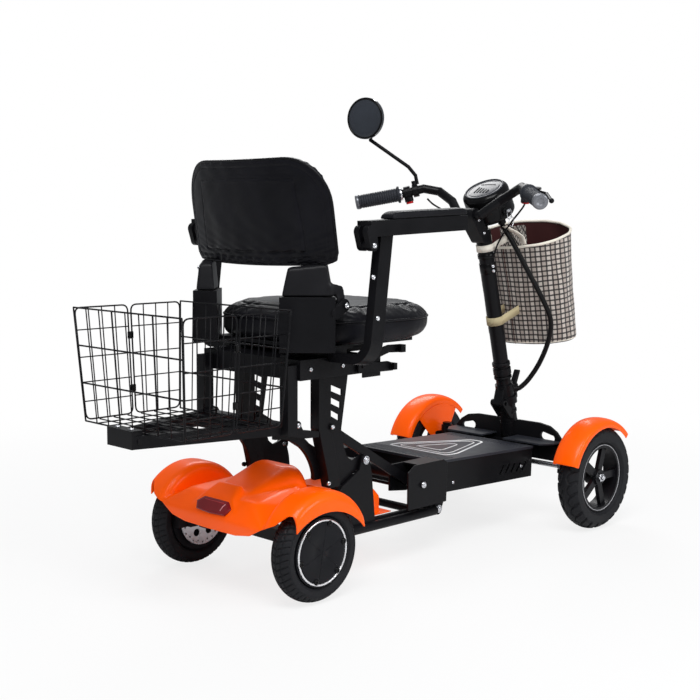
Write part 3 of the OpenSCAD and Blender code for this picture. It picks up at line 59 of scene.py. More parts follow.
M = {}  # materials by name

# source millimetres: wheels, and the frames of the leaning assemblies
REAR_R, REAR_Y = 102.7, 192
FRONT_R, FRONT_X, FRONT_Y = 127, 878, 263
PAD_LEAN, PAD_Z = 9, 658


def at(place):
    """A point or points in the source's millimetres, in the row frame's metres."""
    return (np.array(place, float) - (MID_X, 0, 0)) * MM


def tilted(origin, degrees):
    """A frame that leans back by degrees: a function from its own millimetres to the source's."""
    c, s = cos(radians(degrees)), sin(radians(degrees))
    return lambda x, y, z: np.array((origin[0] + x * c - z * s, origin[1] + y, origin[2] + x * s + z * c))


on_deck = tilted((452, 0, 207), -2.2)
on_stem = tilted((889, 0, 200), 14)
on_pod = tilted((781, 0, 790), 30)
on_pad = tilted((0, 0, PAD_Z), PAD_LEAN)
on_bag = tilted((976, 0, 441), 11.7)
on_apron = tilted((-96, 0, 152), degrees(atan2(26, 22)))


def upward(frame_point):
    """The upward direction of a leaning frame."""
    return frame_point(0, 0, 1) - frame_point(0, 0, 0)


def linked(name, data):
    o = bpy.data.objects.new(name, data)
    SCENE.collection.objects.link(o)
    return o


# ---- shader nodes ----

def add_node(tree, kind, values=(), **settings):
    """A shader node; values gives its inputs numbers, colours or other nodes' sockets."""
    node = tree.nodes.new("ShaderNode" + kind)
    for key, value in settings.items():
        setattr(node, key, value)
    for key, value in dict(values).items():
        if isinstance(value, bpy.types.NodeSocket):
            tree.links.new(value, node.inputs[key])
        else:
            node.inputs[key].default_value = value
    return node


def calc(tree, kind, *inputs):
    """The output of a math node on sockets or numbers."""
    return add_node(tree, "Math", enumerate(inputs), operation=kind).outputs[0]


def shader(name, color, rough, metal=0.0, **more):
    mat = bpy.data.materials.new(name)
    mat.use_nodes = True
    inputs = mat.node_tree.nodes["Principled BSDF"].inputs
    for key, value in {"Base_Color": (*color, 1), "Roughness": rough, "Metallic": metal, **more}.items():
        inputs[key.replace("_", " ")].default_value = value
    return mat


def drive(mat, key, socket):
    mat.node_tree.links.new(socket, mat.node_tree.nodes["Principled BSDF"].inputs[key])


def noise(mat, scale, detail):
    where = add_node(mat.node_tree, "TexCoord").outputs["Object"]
    return add_node(mat.node_tree, "TexNoise", {"Scale": scale, "Detail": detail, "Vector": where}).outputs["Fac"]


def vary_color(mat, pattern, dark, light):
    """The base colour runs from dark to light over the pattern's middle range."""
    ramp = add_node(mat.node_tree, "ValToRGB", {"Fac": pattern})
    for stop, place, color in zip(ramp.color_ramp.elements, (0.35, 0.65), (dark, light)):
        stop.position, stop.color = place, (*color, 1)
    drive(mat, "Base Color", ramp.outputs["Color"])


def mapped(tree, value, start, end, low, high, kind="LINEAR"):
    """The value's range from start to end, turned into low to high."""
    inputs = {"Value": value, "From Min": start, "From Max": end, "To Min": low, "To Max": high}
    return add_node(tree, "MapRange", inputs, interpolation_type=kind).outputs[0]


def vary_rough(mat, pattern, low, high):
    drive(mat, "Roughness", mapped(mat.node_tree, pattern, 0.3, 0.7, low, high))


def bump(mat, height, strength, distance, soft_edges=0.0):
    inputs = {"Strength": strength, "Distance": distance, "Height": height}
    if soft_edges:
        inputs["Normal"] = add_node(mat.node_tree, "Bevel", {"Radius": soft_edges}, samples=4).outputs[0]
    drive(mat, "Normal", add_node(mat.node_tree, "Bump", inputs).outputs[0])


def paint(name, color, rough, gloss=0.13, grain=900, edges=0.0012, metal=0.0, lift=1.35, **more):
    """Powder coat or moulded plastic: a fine grain, slow patches in gloss and softened edges."""
    mat = M[name] = shader(name, color, rough, metal, Specular_IOR_Level=gloss, **more)
    slow = noise(mat, 9, 4)
    vary_color(mat, slow, color, tuple(min(1, c * lift) for c in color))
    vary_rough(mat, slow, rough * 0.85, min(1, rough * 1.2))
    bump(mat, noise(mat, grain, 2), 0.12, 0.0004, edges)


def leather(name, color, rough):
    """Grained upholstery leather: small cells, a little sheen and slow creases."""
    mat = M[name] = shader(name, color, rough, Sheen_Weight=0.03, Specular_IOR_Level=0.11)
    tree = mat.node_tree
    where = add_node(tree, "TexCoord").outputs["Object"]
    cells = add_node(tree, "TexVoronoi", {"Scale": 620, "Vector": where})
    slow = noise(mat, 14, 4)
    vary_color(mat, slow, color, tuple(c * 1.5 for c in color))
    vary_rough(mat, slow, rough * 0.85, rough * 1.2)
    bump(mat, calc(tree, "MULTIPLY_ADD", noise(mat, 60, 5), 0.8, cells.outputs["Distance"]), 0.22, 0.0006)


def checked(name, pitch, dark, light, tint):
    """Woven checks: dark lines both ways on a light ground, every second column tinted."""
    mat = shader(name, (0.7, 0.65, 0.6), 0.88, Sheen_Weight=0.25)
    tree = mat.node_tree
    where = add_node(tree, "UVMap", uv_map="cloth").outputs[0]
    wobble = add_node(tree, "TexNoise", {"Scale": 40, "Vector": where}).outputs["Color"]
    shift = add_node(tree, "VectorMath", {0: wobble, 1: (0.0022, 0.0022, 0), 2: where}, operation="MULTIPLY_ADD")
    x, y, _ = add_node(tree, "SeparateXYZ", {0: shift.outputs[0]}).outputs

    def line(value, width, every):
        return calc(tree, "LESS_THAN", calc(tree, "FRACT", calc(tree, "MULTIPLY", value, 1 / every)), width)

    def blend(share, a, b):
        return add_node(tree, "Mix", {"Factor": share, "A": a, "B": b}, data_type="RGBA").outputs["Result"]

    both = calc(tree, "ADD", line(x, 0.33, pitch), line(y, 0.33, pitch))
    both = calc(tree, "MINIMUM", calc(tree, "MULTIPLY", both, 0.9), 1.0)
    ground = blend(calc(tree, "MULTIPLY", line(x, 0.5, 2 * pitch), 0.55), (*light, 1), (*tint, 1))
    drive(mat, "Base Color", blend(both, ground, (*dark, 1)))
    # threads both ways, and slow rumples
    warp = add_node(tree, "TexWave", {"Scale": 420, "Distortion": 0.6, "Vector": where}).outputs["Fac"]
    weft = add_node(tree, "TexWave", {"Scale": 420, "Vector": where}, bands_direction="Y").outputs["Fac"]
    weave = calc(tree, "MULTIPLY", calc(tree, "MULTIPLY", warp, weft), 0.25)
    bump(mat, calc(tree, "ADD", weave, noise(mat, 26, 4)), 0.55, 0.0022)
    return mat


# ---- camera, light and stage ----

def make_camera():
    """The photo's view, from behind the machine's right side and a little above."""
    yaw, pitch, roll = 0.777, 0.113, 0.005
    look = Vector((cos(pitch) * cos(yaw), cos(pitch) * sin(yaw), -sin(pitch)))
    right = Vector((sin(yaw), -cos(yaw), 0))
    up = right.cross(look)
    across = cos(roll) * right + sin(roll) * up
    above = -sin(roll) * right + cos(roll) * up
    cam = linked("camera", bpy.data.cameras.new("camera"))
    pose = Matrix((across, above, -look)).transposed().to_4x4()
    pose.translation = at((-1592.3, -1854.2, 760.9))
    cam.matrix_world = pose
    cam.data.sensor_width, cam.data.lens, cam.data.clip_end = 36, 61.68, 60
    SCENE.camera = cam


def area_light(name, place, aim, size, power):
    lamp = bpy.data.lights.new(name, "AREA")
    lamp.shape, lamp.energy = "RECTANGLE", power
    lamp.size, lamp.size_y = size
    o = linked(name, lamp)
    o.location = place
    o.rotation_euler = (Vector(aim) - Vector(place)).to_track_quat("-Z", "Y").to_euler()


def seen_white(tree, lit, share):
    """Mixes a shader with plain white, by share, for rays that show the background."""
    rays = add_node(tree, "LightPath").outputs
    seen = calc(tree, "MAXIMUM", rays["Is Camera Ray"], rays["Is Transmission Ray"])
    white = add_node(tree, "Emission", {"Color": (1, 1, 1, 1)}).outputs[0]
    return add_node(tree, "MixShader", {0: calc(tree, "MULTIPLY", seen, share), 1: lit, 2: white}).outputs[0]


def make_stage():
    bpy.ops.mesh.primitive_plane_add(size=30, location=(0, 0, 0))
    floor = bpy.context.object
    floor.name = "floor"
    mat = shader("floor", (0.80, 0.80, 0.80), 0.95, Specular_IOR_Level=0.0)
    tree = mat.node_tree
    # white far away, and under the machine white with its shadow
    far = add_node(tree, "VectorMath", {0: add_node(tree, "TexCoord").outputs["Object"]}, operation="LENGTH")
    fade = mapped(tree, far.outputs["Value"], 0.7, 2.2, 0.80, 1.0, "SMOOTHSTEP")
    lit = tree.nodes["Principled BSDF"].outputs[0]
    tree.links.new(seen_white(tree, lit, fade), tree.nodes["Material Output"].inputs[0])
    floor.data.materials.append(mat)
    world = bpy.data.worlds.new("world")
    SCENE.world = world
    world.use_nodes = True
    tree = world.node_tree
    soft = tree.nodes["Background"]
    soft.inputs["Color"].default_value = (0.93, 0.96, 1.0, 1)
    soft.inputs["Strength"].default_value = 0.30
    tree.links.new(seen_white(tree, soft.outputs[0], 1.0), tree.nodes["World Output"].inputs[0])
    area_light("key", (-1.6, -1.6, 3.4), (0, 0, 0.4), (2.4, 1.8), 120)
    area_light("side", (1.0, -3.4, 1.6), (0.1, 0, 0.4), (1.6, 1.2), 38)
    area_light("back", (2.2, 2.4, 2.9), (0, 0, 0.5), (2.2, 1.4), 60)
    SCENE.view_settings.view_transform = "Standard"


make_camera()
make_stage()

# ---- materials ----

paint("frame_paint", (0.0042, 0.0042, 0.0052), 0.36)
paint("grey_paint", (0.020, 0.022, 0.028), 0.42, gloss=0.25)
paint("hub_paint", (0.0062, 0.0065, 0.0085), 0.45)
paint("rim_paint", (0.006, 0.006, 0.0075), 0.32)
paint("pinstripe", (0.42, 0.42, 0.44), 0.35)
paint("bright", (0.80, 0.80, 0.82), 0.22, metal=0.6, lift=1.1)
paint("steel", (0.62, 0.63, 0.66), 0.25, metal=1.0, lift=1.1)
paint("deck_line", (0.74, 0.75, 0.78), 0.35, metal=0.1)
paint("deck_tread", (0.017, 0.019, 0.026), 0.46, grain=700, gloss=0.32)
paint("black_plastic", (0.0045, 0.0045, 0.005), 0.14)
paint("dark_plastic", (0.009, 0.009, 0.0105), 0.4)
# painted light: a faint orange emission makes the plastic glow, to deepen its colour as light through plastic would
paint("orange_plastic", (1.0, 0.105, 0.0), 0.34, grain=300, edges=0.002, lift=1.05, gloss=0.14,
      Coat_Weight=0.16, Coat_Roughness=0.12, Emission_Color=(1.0, 0.08, 0.0, 1), Emission_Strength=0.16)
paint("lens_red", (0.20, 0.006, 0.010), 0.12, grain=200, Coat_Weight=0.6)
# painted highlight: the light pink colour of the raised rib on the tail lens
paint("lens_highlight_paint", (0.85, 0.35, 0.38), 0.2)
# painted highlight: the lighter band along the top edge of the tail lens
paint("lens_band_highlight_paint", (0.42, 0.04, 0.05), 0.2)
paint("button_red", (0.42, 0.010, 0.012), 0.25)
paint("display_glass", (0.030, 0.032, 0.040), 0.2, lift=1.3, Coat_Weight=0.15)
paint("mirror_glass", (0.020, 0.024, 0.032), 0.07, Coat_Weight=1.0)
paint("grip_rubber", (0.022, 0.024, 0.030), 0.5)
paint("grip_end", (0.15, 0.155, 0.17), 0.3, metal=0.5)
paint("cable_rubber", (0.006, 0.006, 0.0065), 0.38)
paint("tyre", (0.0056, 0.0060, 0.0080), 0.6, grain=500, gloss=0.25)
paint("strap_cloth", (0.42, 0.36, 0.22), 0.85, grain=1400)
paint("bag_lining", (0.050, 0.016, 0.016), 0.8, grain=1200)
paint("piping", (0.72, 0.68, 0.60), 0.8, grain=1500)
paint("leather_edge", (0.0055, 0.0055, 0.007), 0.3, grain=500)
leather("leather", (0.0040, 0.0040, 0.0058), 0.34)
leather("arm_pad", (0.0045, 0.0045, 0.0062), 0.42)
CHECK = 0.0127  # the checks' pitch
M["bag_cloth"] = checked("bag_checks", CHECK, (0.016, 0.012, 0.014), (0.60, 0.55, 0.50), (0.32, 0.26, 0.22))

for row in frame["record"]["subparts"]:
    NODES[row["node"]].data.materials.clear()
    NODES[row["node"]].data.materials.append(M[row["material_slot"]])


# ---- meshes and pieces ----

def edited(mesh, work):
    """Works on a mesh through bmesh."""
    bm = bmesh.new()
    bm.from_mesh(mesh)
    work(bm)
    bm.to_mesh(mesh)
    bm.free()


def face_outwards(mesh):
    edited(mesh, lambda bm: bmesh.ops.recalc_face_normals(bm, faces=bm.faces))


def mesh_of(name, part):
    """A mesh from (vertices, faces) in the row frame's metres."""
    mesh = bpy.data.meshes.new(name)
    mesh.from_pydata([tuple(map(float, v)) for v in part[0]], [], [tuple(map(int, f)) for f in part[1]])
    face_outwards(mesh)
    return mesh


def dress(mesh, mat, smooth=True):
    mesh.materials.clear()
    mesh.materials.append(M[mat])
    mesh.polygons.foreach_set("use_smooth", [smooth] * len(mesh.polygons))


def declare(o, body, node=None):
    """The body that a piece rides on and the CAD node that it stands for."""
    if body:
        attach(o, body)
    if node:
        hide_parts(node)
    return o


def put(name, part, mat, body, node=None, smooth=True):
    """A new piece from (vertices, faces)."""
    o = linked(name, mesh_of(name, part))
    dress(o.data, mat, smooth)
    return declare(o, body, node)


def evaluated(o):
    """Applies an object's modifiers and returns its new mesh."""
    bpy.context.view_layer.update()
    mesh = bpy.data.meshes.new_from_object(o.evaluated_get(bpy.context.evaluated_depsgraph_get()))
    o.modifiers.clear()
    old, o.data = o.data, mesh
    bpy.data.meshes.remove(old)
    return mesh


def melted(o, voxel, rounds):
    """Melts an object's edges and facets together, by remeshing and smoothing."""
    melt = o.modifiers.new("melt", "REMESH")
    melt.mode, melt.voxel_size = "VOXEL", voxel
    even = o.modifiers.new("even", "SMOOTH")
    even.factor, even.iterations = 0.5, rounds
    return evaluated(o)


def moulded(node, name, mat, voxel, rounds, ride=True):
    """A copy of a CAD node with its edges and facets melted together, as a moulding has them."""
    o = linked(name, NODES[node].data.copy())
    edited(o.data, lambda bm: bmesh.ops.remove_doubles(bm, verts=bm.verts, dist=1e-6))
    mesh = melted(o, voxel, rounds)
    dress(mesh, mat)
    if "custom_normal" in mesh.attributes:
        mesh.attributes.remove(mesh.attributes["custom_normal"])
    return declare(o, BODY_OF[node] if ride else None, node)


def triples(values, key):
    out = np.zeros(len(values) * 3)
    values.foreach_get(key, out)
    return out.reshape(-1, 3)


def coords(mesh):
    return triples(mesh.vertices, "co")


def set_coords(mesh, co):
    mesh.vertices.foreach_set("co", co.astype(np.float32).ravel())
    mesh.update()


# ---- shapes: each returns (vertices, faces) ----

def unit(v):
    return v / norm(v)


def round_angles(n):
    return 2 * pi * np.arange(n) / n


def ease(t):
    t = np.clip(t, 0, 1)
    return t * t * (3 - 2 * t)


def quads(rows, cols, ring=False, wrap=True):
    """Faces over rows of points: ring joins the last row to the first, wrap closes each row."""
    return [(i * cols + k, i * cols + (k + 1) % cols, (i + 1) % rows * cols + (k + 1) % cols, (i + 1) % rows * cols + k)
            for i in range(rows if ring else rows - 1) for k in range(cols if wrap else cols - 1)]


def band(a, b):
    """Faces between two rings of points; a ring of one point closes an end."""
    n = max(len(a), len(b))
    faces = [(a[k % len(a)], a[(k + 1) % n % len(a)], b[(k + 1) % n % len(b)], b[k % len(b)]) for k in range(n)]
    return [tuple(dict.fromkeys(map(int, face))) for face in faces]


def end_faces(rows, cols):
    return [tuple(range(cols))[::-1], tuple(range((rows - 1) * cols, rows * cols))]


def joined(parts):
    verts, faces = [], []
    for part_verts, part_faces in parts:
        faces += [tuple(i + len(verts) for i in face) for face in part_faces]
        verts += list(part_verts)
    return verts, faces


def catmull(points, steps):
    """A smooth path through the points."""
    p = np.array(points, float)
    t = (np.arange(steps) / steps)[:, None]
    runs = [0.5 * (2 * b + (c - a) * t + (2 * a - 5 * b + 4 * c - d) * t ** 2 + (3 * b - a - 3 * c + d) * t ** 3)
            for a, b, c, d in zip([p[0], *p], p, p[1:], [*p[2:], p[-1]])]
    return np.vstack([*runs, p[-1]])


def filleted(points, r, steps=5):
    """A closed path of straight runs whose corners are rounded to about r."""
    p = [np.array(q, float) for q in points]
    out = []
    for before, here, after in zip([p[-1]] + p, p, p[1:] + p[:1]):
        a, b = here + unit(before - here) * r, here + unit(after - here) * r
        for t in np.arange(steps + 1) / steps:
            out.append((1 - t) ** 2 * a + 2 * t * (1 - t) * here + t * t * b)
    return out


def tube(path, r, sides=10, closed=False):
    """A round wire along a path of metres; r is one radius in millimetres or one for each point."""
    p = np.array(path, float)
    n = len(p)
    radii = np.ones(n) * r * MM
    ends = (p[-1], p[0]) if closed else (2 * p[0] - p[1], 2 * p[-1] - p[-2])
    longer = np.vstack([ends[0], p, ends[1]])
    head = longer[2:] - longer[:-2]
    head /= norm(head, axis=1)[:, None]
    side = unit(np.cross(head[0], [0.31, 0.17, 0.93] if abs(head[0][2]) < 0.9 else [0.9, 0.3, 0.1]))
    verts = []
    for i in range(n):
        side = unit(side - head[i] * np.dot(side, head[i]))
        other = np.cross(head[i], side)
        for a in round_angles(sides):
            verts.append(p[i] + radii[i] * (cos(a) * side + sin(a) * other))
    faces = quads(n, sides)
    if closed:
        # the sides may have turned over one round, so the last ring joins the nearest start
        last = np.array(verts[-sides:])
        turn = int(np.argmin([norm(last - np.roll(verts[:sides], -s, 0)) for s in range(sides)]))
        faces += band(range((n - 1) * sides, n * sides), np.roll(range(sides), -turn))
    else:
        faces += end_faces(n, sides)
    return verts, faces


def rod(a, b, r, sides=8):
    return tube([a, (a + b) / 2, b], r, sides)


def lathe(profile, origin, axis, steps=32):
    """Turns (radius, height) pairs in millimetres around an axis: up to it, or as a ring where neither end is on it."""
    if profile[0][0] and profile[-1][0]:
        profile = [*profile, profile[0]]
    axis = unit(np.array(axis, float))
    u = unit(np.cross(axis, (1, 0, 0) if abs(axis[2]) > 0.95 else (0, 0, 1)))
    v = np.cross(axis, u)
    verts, rings, faces = [], [], []
    for r, h in profile:
        turns = round_angles(steps) if r > 0 else [0]
        rings.append(range(len(verts), len(verts) + len(turns)))
        verts += [origin + (axis * h + r * (cos(a) * u + sin(a) * v)) * MM for a in turns]
    for a, b in zip(rings, rings[1:]):
        faces += band(a, b)
    return verts, faces


def ribbon(path, width, thick, up):
    """A flat band along a path; up is its width's direction, width and thick are in millimetres."""
    p = np.array(path, float)
    verts = []
    for here, ahead in zip(p, np.gradient(p, axis=0)):
        side = unit(np.cross(up, ahead))
        verts += [here + (np.array(up) * w * width + side * h * thick) / 2 * MM
                  for w, h in ((-1, -1), (-1, 1), (1, 1), (1, -1))]
    return verts, quads(len(p), 4) + end_faces(len(p), 4)


def hull_of(balls, rows=14, sides=28):
    """The tight skin around balls on both sides, given as (centre, radius) in the source's millimetres."""
    bm = bmesh.new()
    for centre, r in [((x, s * y, z), r) for (x, y, z), r in balls for s in (-1, 1)]:
        for a in pi * np.arange(rows + 1) / rows:
            for b in round_angles(sides):
                spoke = np.array((sin(a) * cos(b), sin(a) * sin(b), cos(a)))
                bm.verts.new(at(np.array(centre) + r * spoke))
    bmesh.ops.remove_doubles(bm, verts=bm.verts, dist=1e-6)
    made = bmesh.ops.convex_hull(bm, input=bm.verts)
    inside = {v for v in made["geom_interior"] if isinstance(v, bmesh.types.BMVert)}
    bmesh.ops.delete(bm, geom=list(inside), context="VERTS")
    bm.verts.index_update()
    part = [tuple(v.co) for v in bm.verts], [tuple(v.index for v in f.verts) for f in bm.faces]
    bm.free()
    return part


def prism(outline, place, low, high):
    """A closed prism; place turns (u, v, w) into a point in the source's millimetres."""
    verts = at([place(u, v, w) for w in (low, high) for u, v in outline])
    return verts, end_faces(2, len(outline)) + quads(2, len(outline))


def cut_away(o, cutters):
    """Takes closed (vertices, faces) out of an object."""
    tools = [linked("cutter", mesh_of("cutter", part)) for part in cutters]
    for tool in tools:
        cut = o.modifiers.new("cut", "BOOLEAN")
        cut.operation, cut.solver, cut.object = "DIFFERENCE", "EXACT", tool
    mesh = evaluated(o)
    for tool in tools:
        old = tool.data
        bpy.data.objects.remove(tool)
        bpy.data.meshes.remove(old)
    return mesh


# ---- fasteners ----

def socket_screw(name, place, axis, r, h, body, mat="steel", slot=None):
    """A round-headed screw with a hexagon socket, in the source's millimetres."""
    n = 24
    head = [(0, -0.3 * h), (r, -0.3 * h), (r, 0.5 * h), (0.86 * r, 0.86 * h), (0.62 * r, h), (0.46 * r, h)]
    verts, faces = lathe(head, at(place), axis, n)
    base = len(verts)
    rim = np.array(verts[-n:])
    centre = rim.mean(0)
    deep = unit(np.array(axis, float)) * h * MM * 0.6
    # the socket narrows from the round rim to a hexagon
    for k in range(n):
        turn = (k % 4) / 4 * pi / 3 - pi / 6
        verts.append(centre + (rim[k] - centre) * 0.86 ** 2 / max(cos(turn), 0.5) - deep * 0.1)
    verts += [v - deep for v in verts[base:]]
    faces += [tuple(i + base - n for i in face) for face in quads(3, n)]
    faces.append(tuple(range(base + n, base + 2 * n)))
    put(name, (verts, faces), mat, body)


def screws(name, body, r, h, *places, axis=LEFT, both=True, **more):
    """Screws at some places, and on the other side of the machine."""
    for i, (x, y, z) in enumerate(places):
        socket_screw(f"{name}_{i}", (x, y, z), axis, r, h, body, **more)
        if both:
            socket_screw(f"{name}_{i}_other", (x, -y, z), (axis[0], -axis[1], axis[2]), r, h, body, **more)


# places follow the pivots of the fold and the faces of the frame
screws("bracket_bolt", "chassis", 7.5, 4, (366, 157, 170))
screws("ear_bolt", "chassis", 7, 3, (450, 133, 97))
screws("leg_bolt", "rear_frame", 7, 3, (206, 137, 245))
screws("leg_screw", "seat_frame", 5, 3, (107, 134.5, 328), (97, 133.5, 212))
screws("box_screw", "seat_frame", 4.5, 3, (30, 150, 455), (120, 150, 455))
screws("rack_screw", "seat_frame", 6, 3.5, (10, 135, 343))
screws("rack_end_screw", "seat_frame", 6, 3, (-308, 22, 360), axis=UP)
screws("tray_screw", "chassis", 4, 2, (500, 130, 150), (760, 130, 150))
for name, body, s in (("fender_screw", "left_knuckle", 1), ("fender_screw_right", "right_knuckle", -1)):
    screws(name, body, 4.5, 2.5, (862, s * 229, 172), (890, s * 229, 176), axis=(0, -s, 0), both=False, mat="rim_paint")
screws("bar_clamp_screw", "tiller", 4.2, 3, (716, 20, 748), (738, 20, 716))
screws("arm_post_screw", "seat", 5.0, 3, (84, 267.4, 640), (97, 267.4, 560))
screws("arm_hinge_screw", "seat", 5.5, 3, (78, 275.6, 701))
screws("back_screw", "seat", 5.5, 3, (66, 214, 583))
screws("rim_brake_screw", "rear_wheel_left", 5.0, 3, (5, 157, 102.7), axis=RIGHT, both=False)


# ---- covers and fenders ----

def rear_shell():
    """The rear cover as one moulding: its dome, apron and wheel arches run into each other."""
    bend = np.linspace(0, pi / 2, 9)
    lobe = [(0, 154), *((104 + 20 * sin(a), 174 - 20 * cos(a)) for a in bend),
            *((104 + 20 * cos(a), 212 + 20 * sin(a)) for a in bend), (0, 232)]
    dome = [((74, 36, 189), 50), ((92, 64, 172), 29), ((-44, 42, 182), 18)]
    apron = [((-96, 150, 108), 12), ((-96, 150, 152), 12), ((-60, 100, 163), 32),
             ((60, 152, 118), 18), ((60, 152, 160), 18), ((52, 78, 188), 18)]
    hood = [(on_apron(41, 42, 11), 7), (on_apron(14, 62, 7), 7), (on_apron(70, 30, 2), 8)]
    parts = [lathe(lobe, at((0, 0, REAR_R)), (0, s, 0), 96) for s in (-1, 1)]
    parts += [hull_of(balls) for balls in (dome, apron, hood)]
    o = linked("rear_cover_shell", mesh_of("rear_cover_shell", joined(parts)))
    melted(o, 0.003, 14)
    wall = o.modifiers.new("wall", "SOLIDIFY")
    wall.thickness, wall.offset = 0.003, -1
    # the front is open between the wheels, the hem rises to each side, the bottom and the wheel arches are open
    front = [(82, -94), (82, 94), (76, 94), (76, 154), (104, 154), (104, 300), (300, 300),
             (300, -300), (104, -300), (104, -154), (76, -154), (76, -94)]
    hem = [(0, 130), (80, 131), (122, 138), (150, 153), (190, 170), (212, 190), (300, 192)]
    hem = [(-y, z) for y, z in hem[:0:-1]] + hem + [(300, -60), (-300, -60)]
    bottom = [(-84, -60), (-84, 130), (-40, 139), (300, 139), (300, -60)]
    arch = [(134 * cos(a), 52 + 134 * sin(a)) for a in round_angles(96)]
    cuts = [prism(front, lambda u, v, w: (u, v, w), -60, 300), prism(hem, lambda u, v, w: (w, u, v), -300, -82),
            prism(bottom, lambda u, v, w: (u, w, v), -300, 300)]
    cuts += [prism(arch, lambda u, v, w, s=s: (u, s * w, v), 223, 260) for s in (-1, 1)]
    mesh = cut_away(o, cuts)
    dress(mesh, "orange_plastic")
    mesh.set_sharp_from_angle(angle=radians(50))
    declare(o, BODY_OF["rear_cover"], "rear_cover")
    feet = [lathe([(0, 110), (6, 110), (6, 168), (0, 168)], at((36, s * 108, 0)), UP, 20) for s in (-1, 1)]
    put("rear_cover_feet", joined(feet), "orange_plastic", BODY_OF["rear_cover"])


def evened(mesh, rounds):
    """Moves each point towards the middle of its neighbours."""
    edges = np.zeros(len(mesh.edges) * 2, np.int32)
    mesh.edges.foreach_get("vertices", edges)
    a, b = edges.reshape(-1, 2).T
    co = coords(mesh)
    n = len(co)
    count = np.bincount(a, minlength=n) + np.bincount(b, minlength=n)
    for _ in range(rounds):
        total = np.stack([np.bincount(a, co[b, k], n) + np.bincount(b, co[a, k], n) for k in range(3)], 1)
        co += (total / count[:, None] - co) * 0.6
    set_coords(mesh, co)


def front_shell(side, s):
    """A front fender whose top is crowned across its width."""
    node = f"front_fender_{side}"
    mesh = moulded(node, node + "_shell", "orange_plastic", 0.0017, 8).data
    co = coords(mesh)
    centre = at((FRONT_X, s * FRONT_Y, FRONT_R))
    d = co - centre
    r = np.hypot(d[:, 0], d[:, 2])
    across = np.clip(d[:, 1] / 0.034, -1, 1)
    drop = 0.0115 * (1 - np.sqrt(1 - 0.96 * across ** 2)) * ease((r - 0.124) / 0.006)
    co[:, ::2] = centre[::2] + d[:, ::2] * ((r - drop) / r)[:, None]
    set_coords(mesh, co)
    evened(mesh, 5)


rear_shell()
for side, s in SIDES:
    front_shell(side, s)
moulded("frame_cover", "frame_cover_shell", "orange_plastic", 0.0022, 10)


def tail_light():
    """A faceted lens with a raised rib coloured as a painted highlight, on the apron of the rear cover."""

    def spot(x, y, z):
        return at(on_apron(17 + x, y, 13.3 + z))

    outline = [(-17, 0), (-14, 44), (2, 54), (16, 38), (16, -38), (2, -54), (-14, -44)]
    levels = ((1.0, 0), (1.0, 2.6), (0.95, 4.2), (0.72, 5.9), (0.66, 5.7))
    verts = [spot(x * shrink, y * (0.45 + 0.55 * shrink), z) for shrink, z in levels for x, y in outline]
    size = len(levels), len(outline)
    lens = verts, quads(*size) + end_faces(*size)
    put("tail_lens", lens, "lens_red", "rear_frame", node="tail_light", smooth=False)
    # a raised rib in a light pink: a painted highlight on the lens
    rib = [spot(-8, -30, 5.9), spot(2, -31.5, 6.0), spot(8, -35, 5.9)]
    put("tail_lens_highlight_rib", tube(rib, 0.9, 8), "lens_highlight_paint", "rear_frame")
    # a painted highlight: a lighter band along the top edge, where the lens's facets catch the light
    band = [spot(9.2, y, 5.72) for y in np.linspace(-30, 30, 9)]
    put("tail_lens_highlight_band", tube(band, 0.8, 8), "lens_band_highlight_paint", "rear_frame")


tail_light()


# ---- wheels ----

def front_tread(u, v, zig, zag):
    """Zigzag grooves between chunky blocks, and slanted cuts on the shoulders."""
    grooves = [ease(1.6 - np.abs(v - 0.30 - 0.13 * zig) / 0.045), ease(1.6 - np.abs(v + 0.30 - 0.13 * zag) / 0.045)]
    slant = (u + 0.55 * np.abs(v) + 0.25 * (v > 0)) % 1
    return np.max([*grooves, ease((0.17 - np.abs(slant - 0.5)) / 0.05) * (np.abs(v) > 0.44)], axis=0)


def rear_tread(u, v, zig, zag):
    """Three nearly straight grooves, and slanted cuts between them."""
    grooves = [ease(1.5 - np.abs(v - line - 0.02 * zig) / 0.035) for line in (-0.42, 0.0, 0.42)]
    slant = (u + 0.8 * np.abs(v)) % 1
    cuts = ease((0.13 - np.abs(slant - 0.5)) / 0.05) * (np.abs(v) > 0.1) * (np.abs(v) < 0.93)
    return np.max([*grooves, cuts], axis=0)


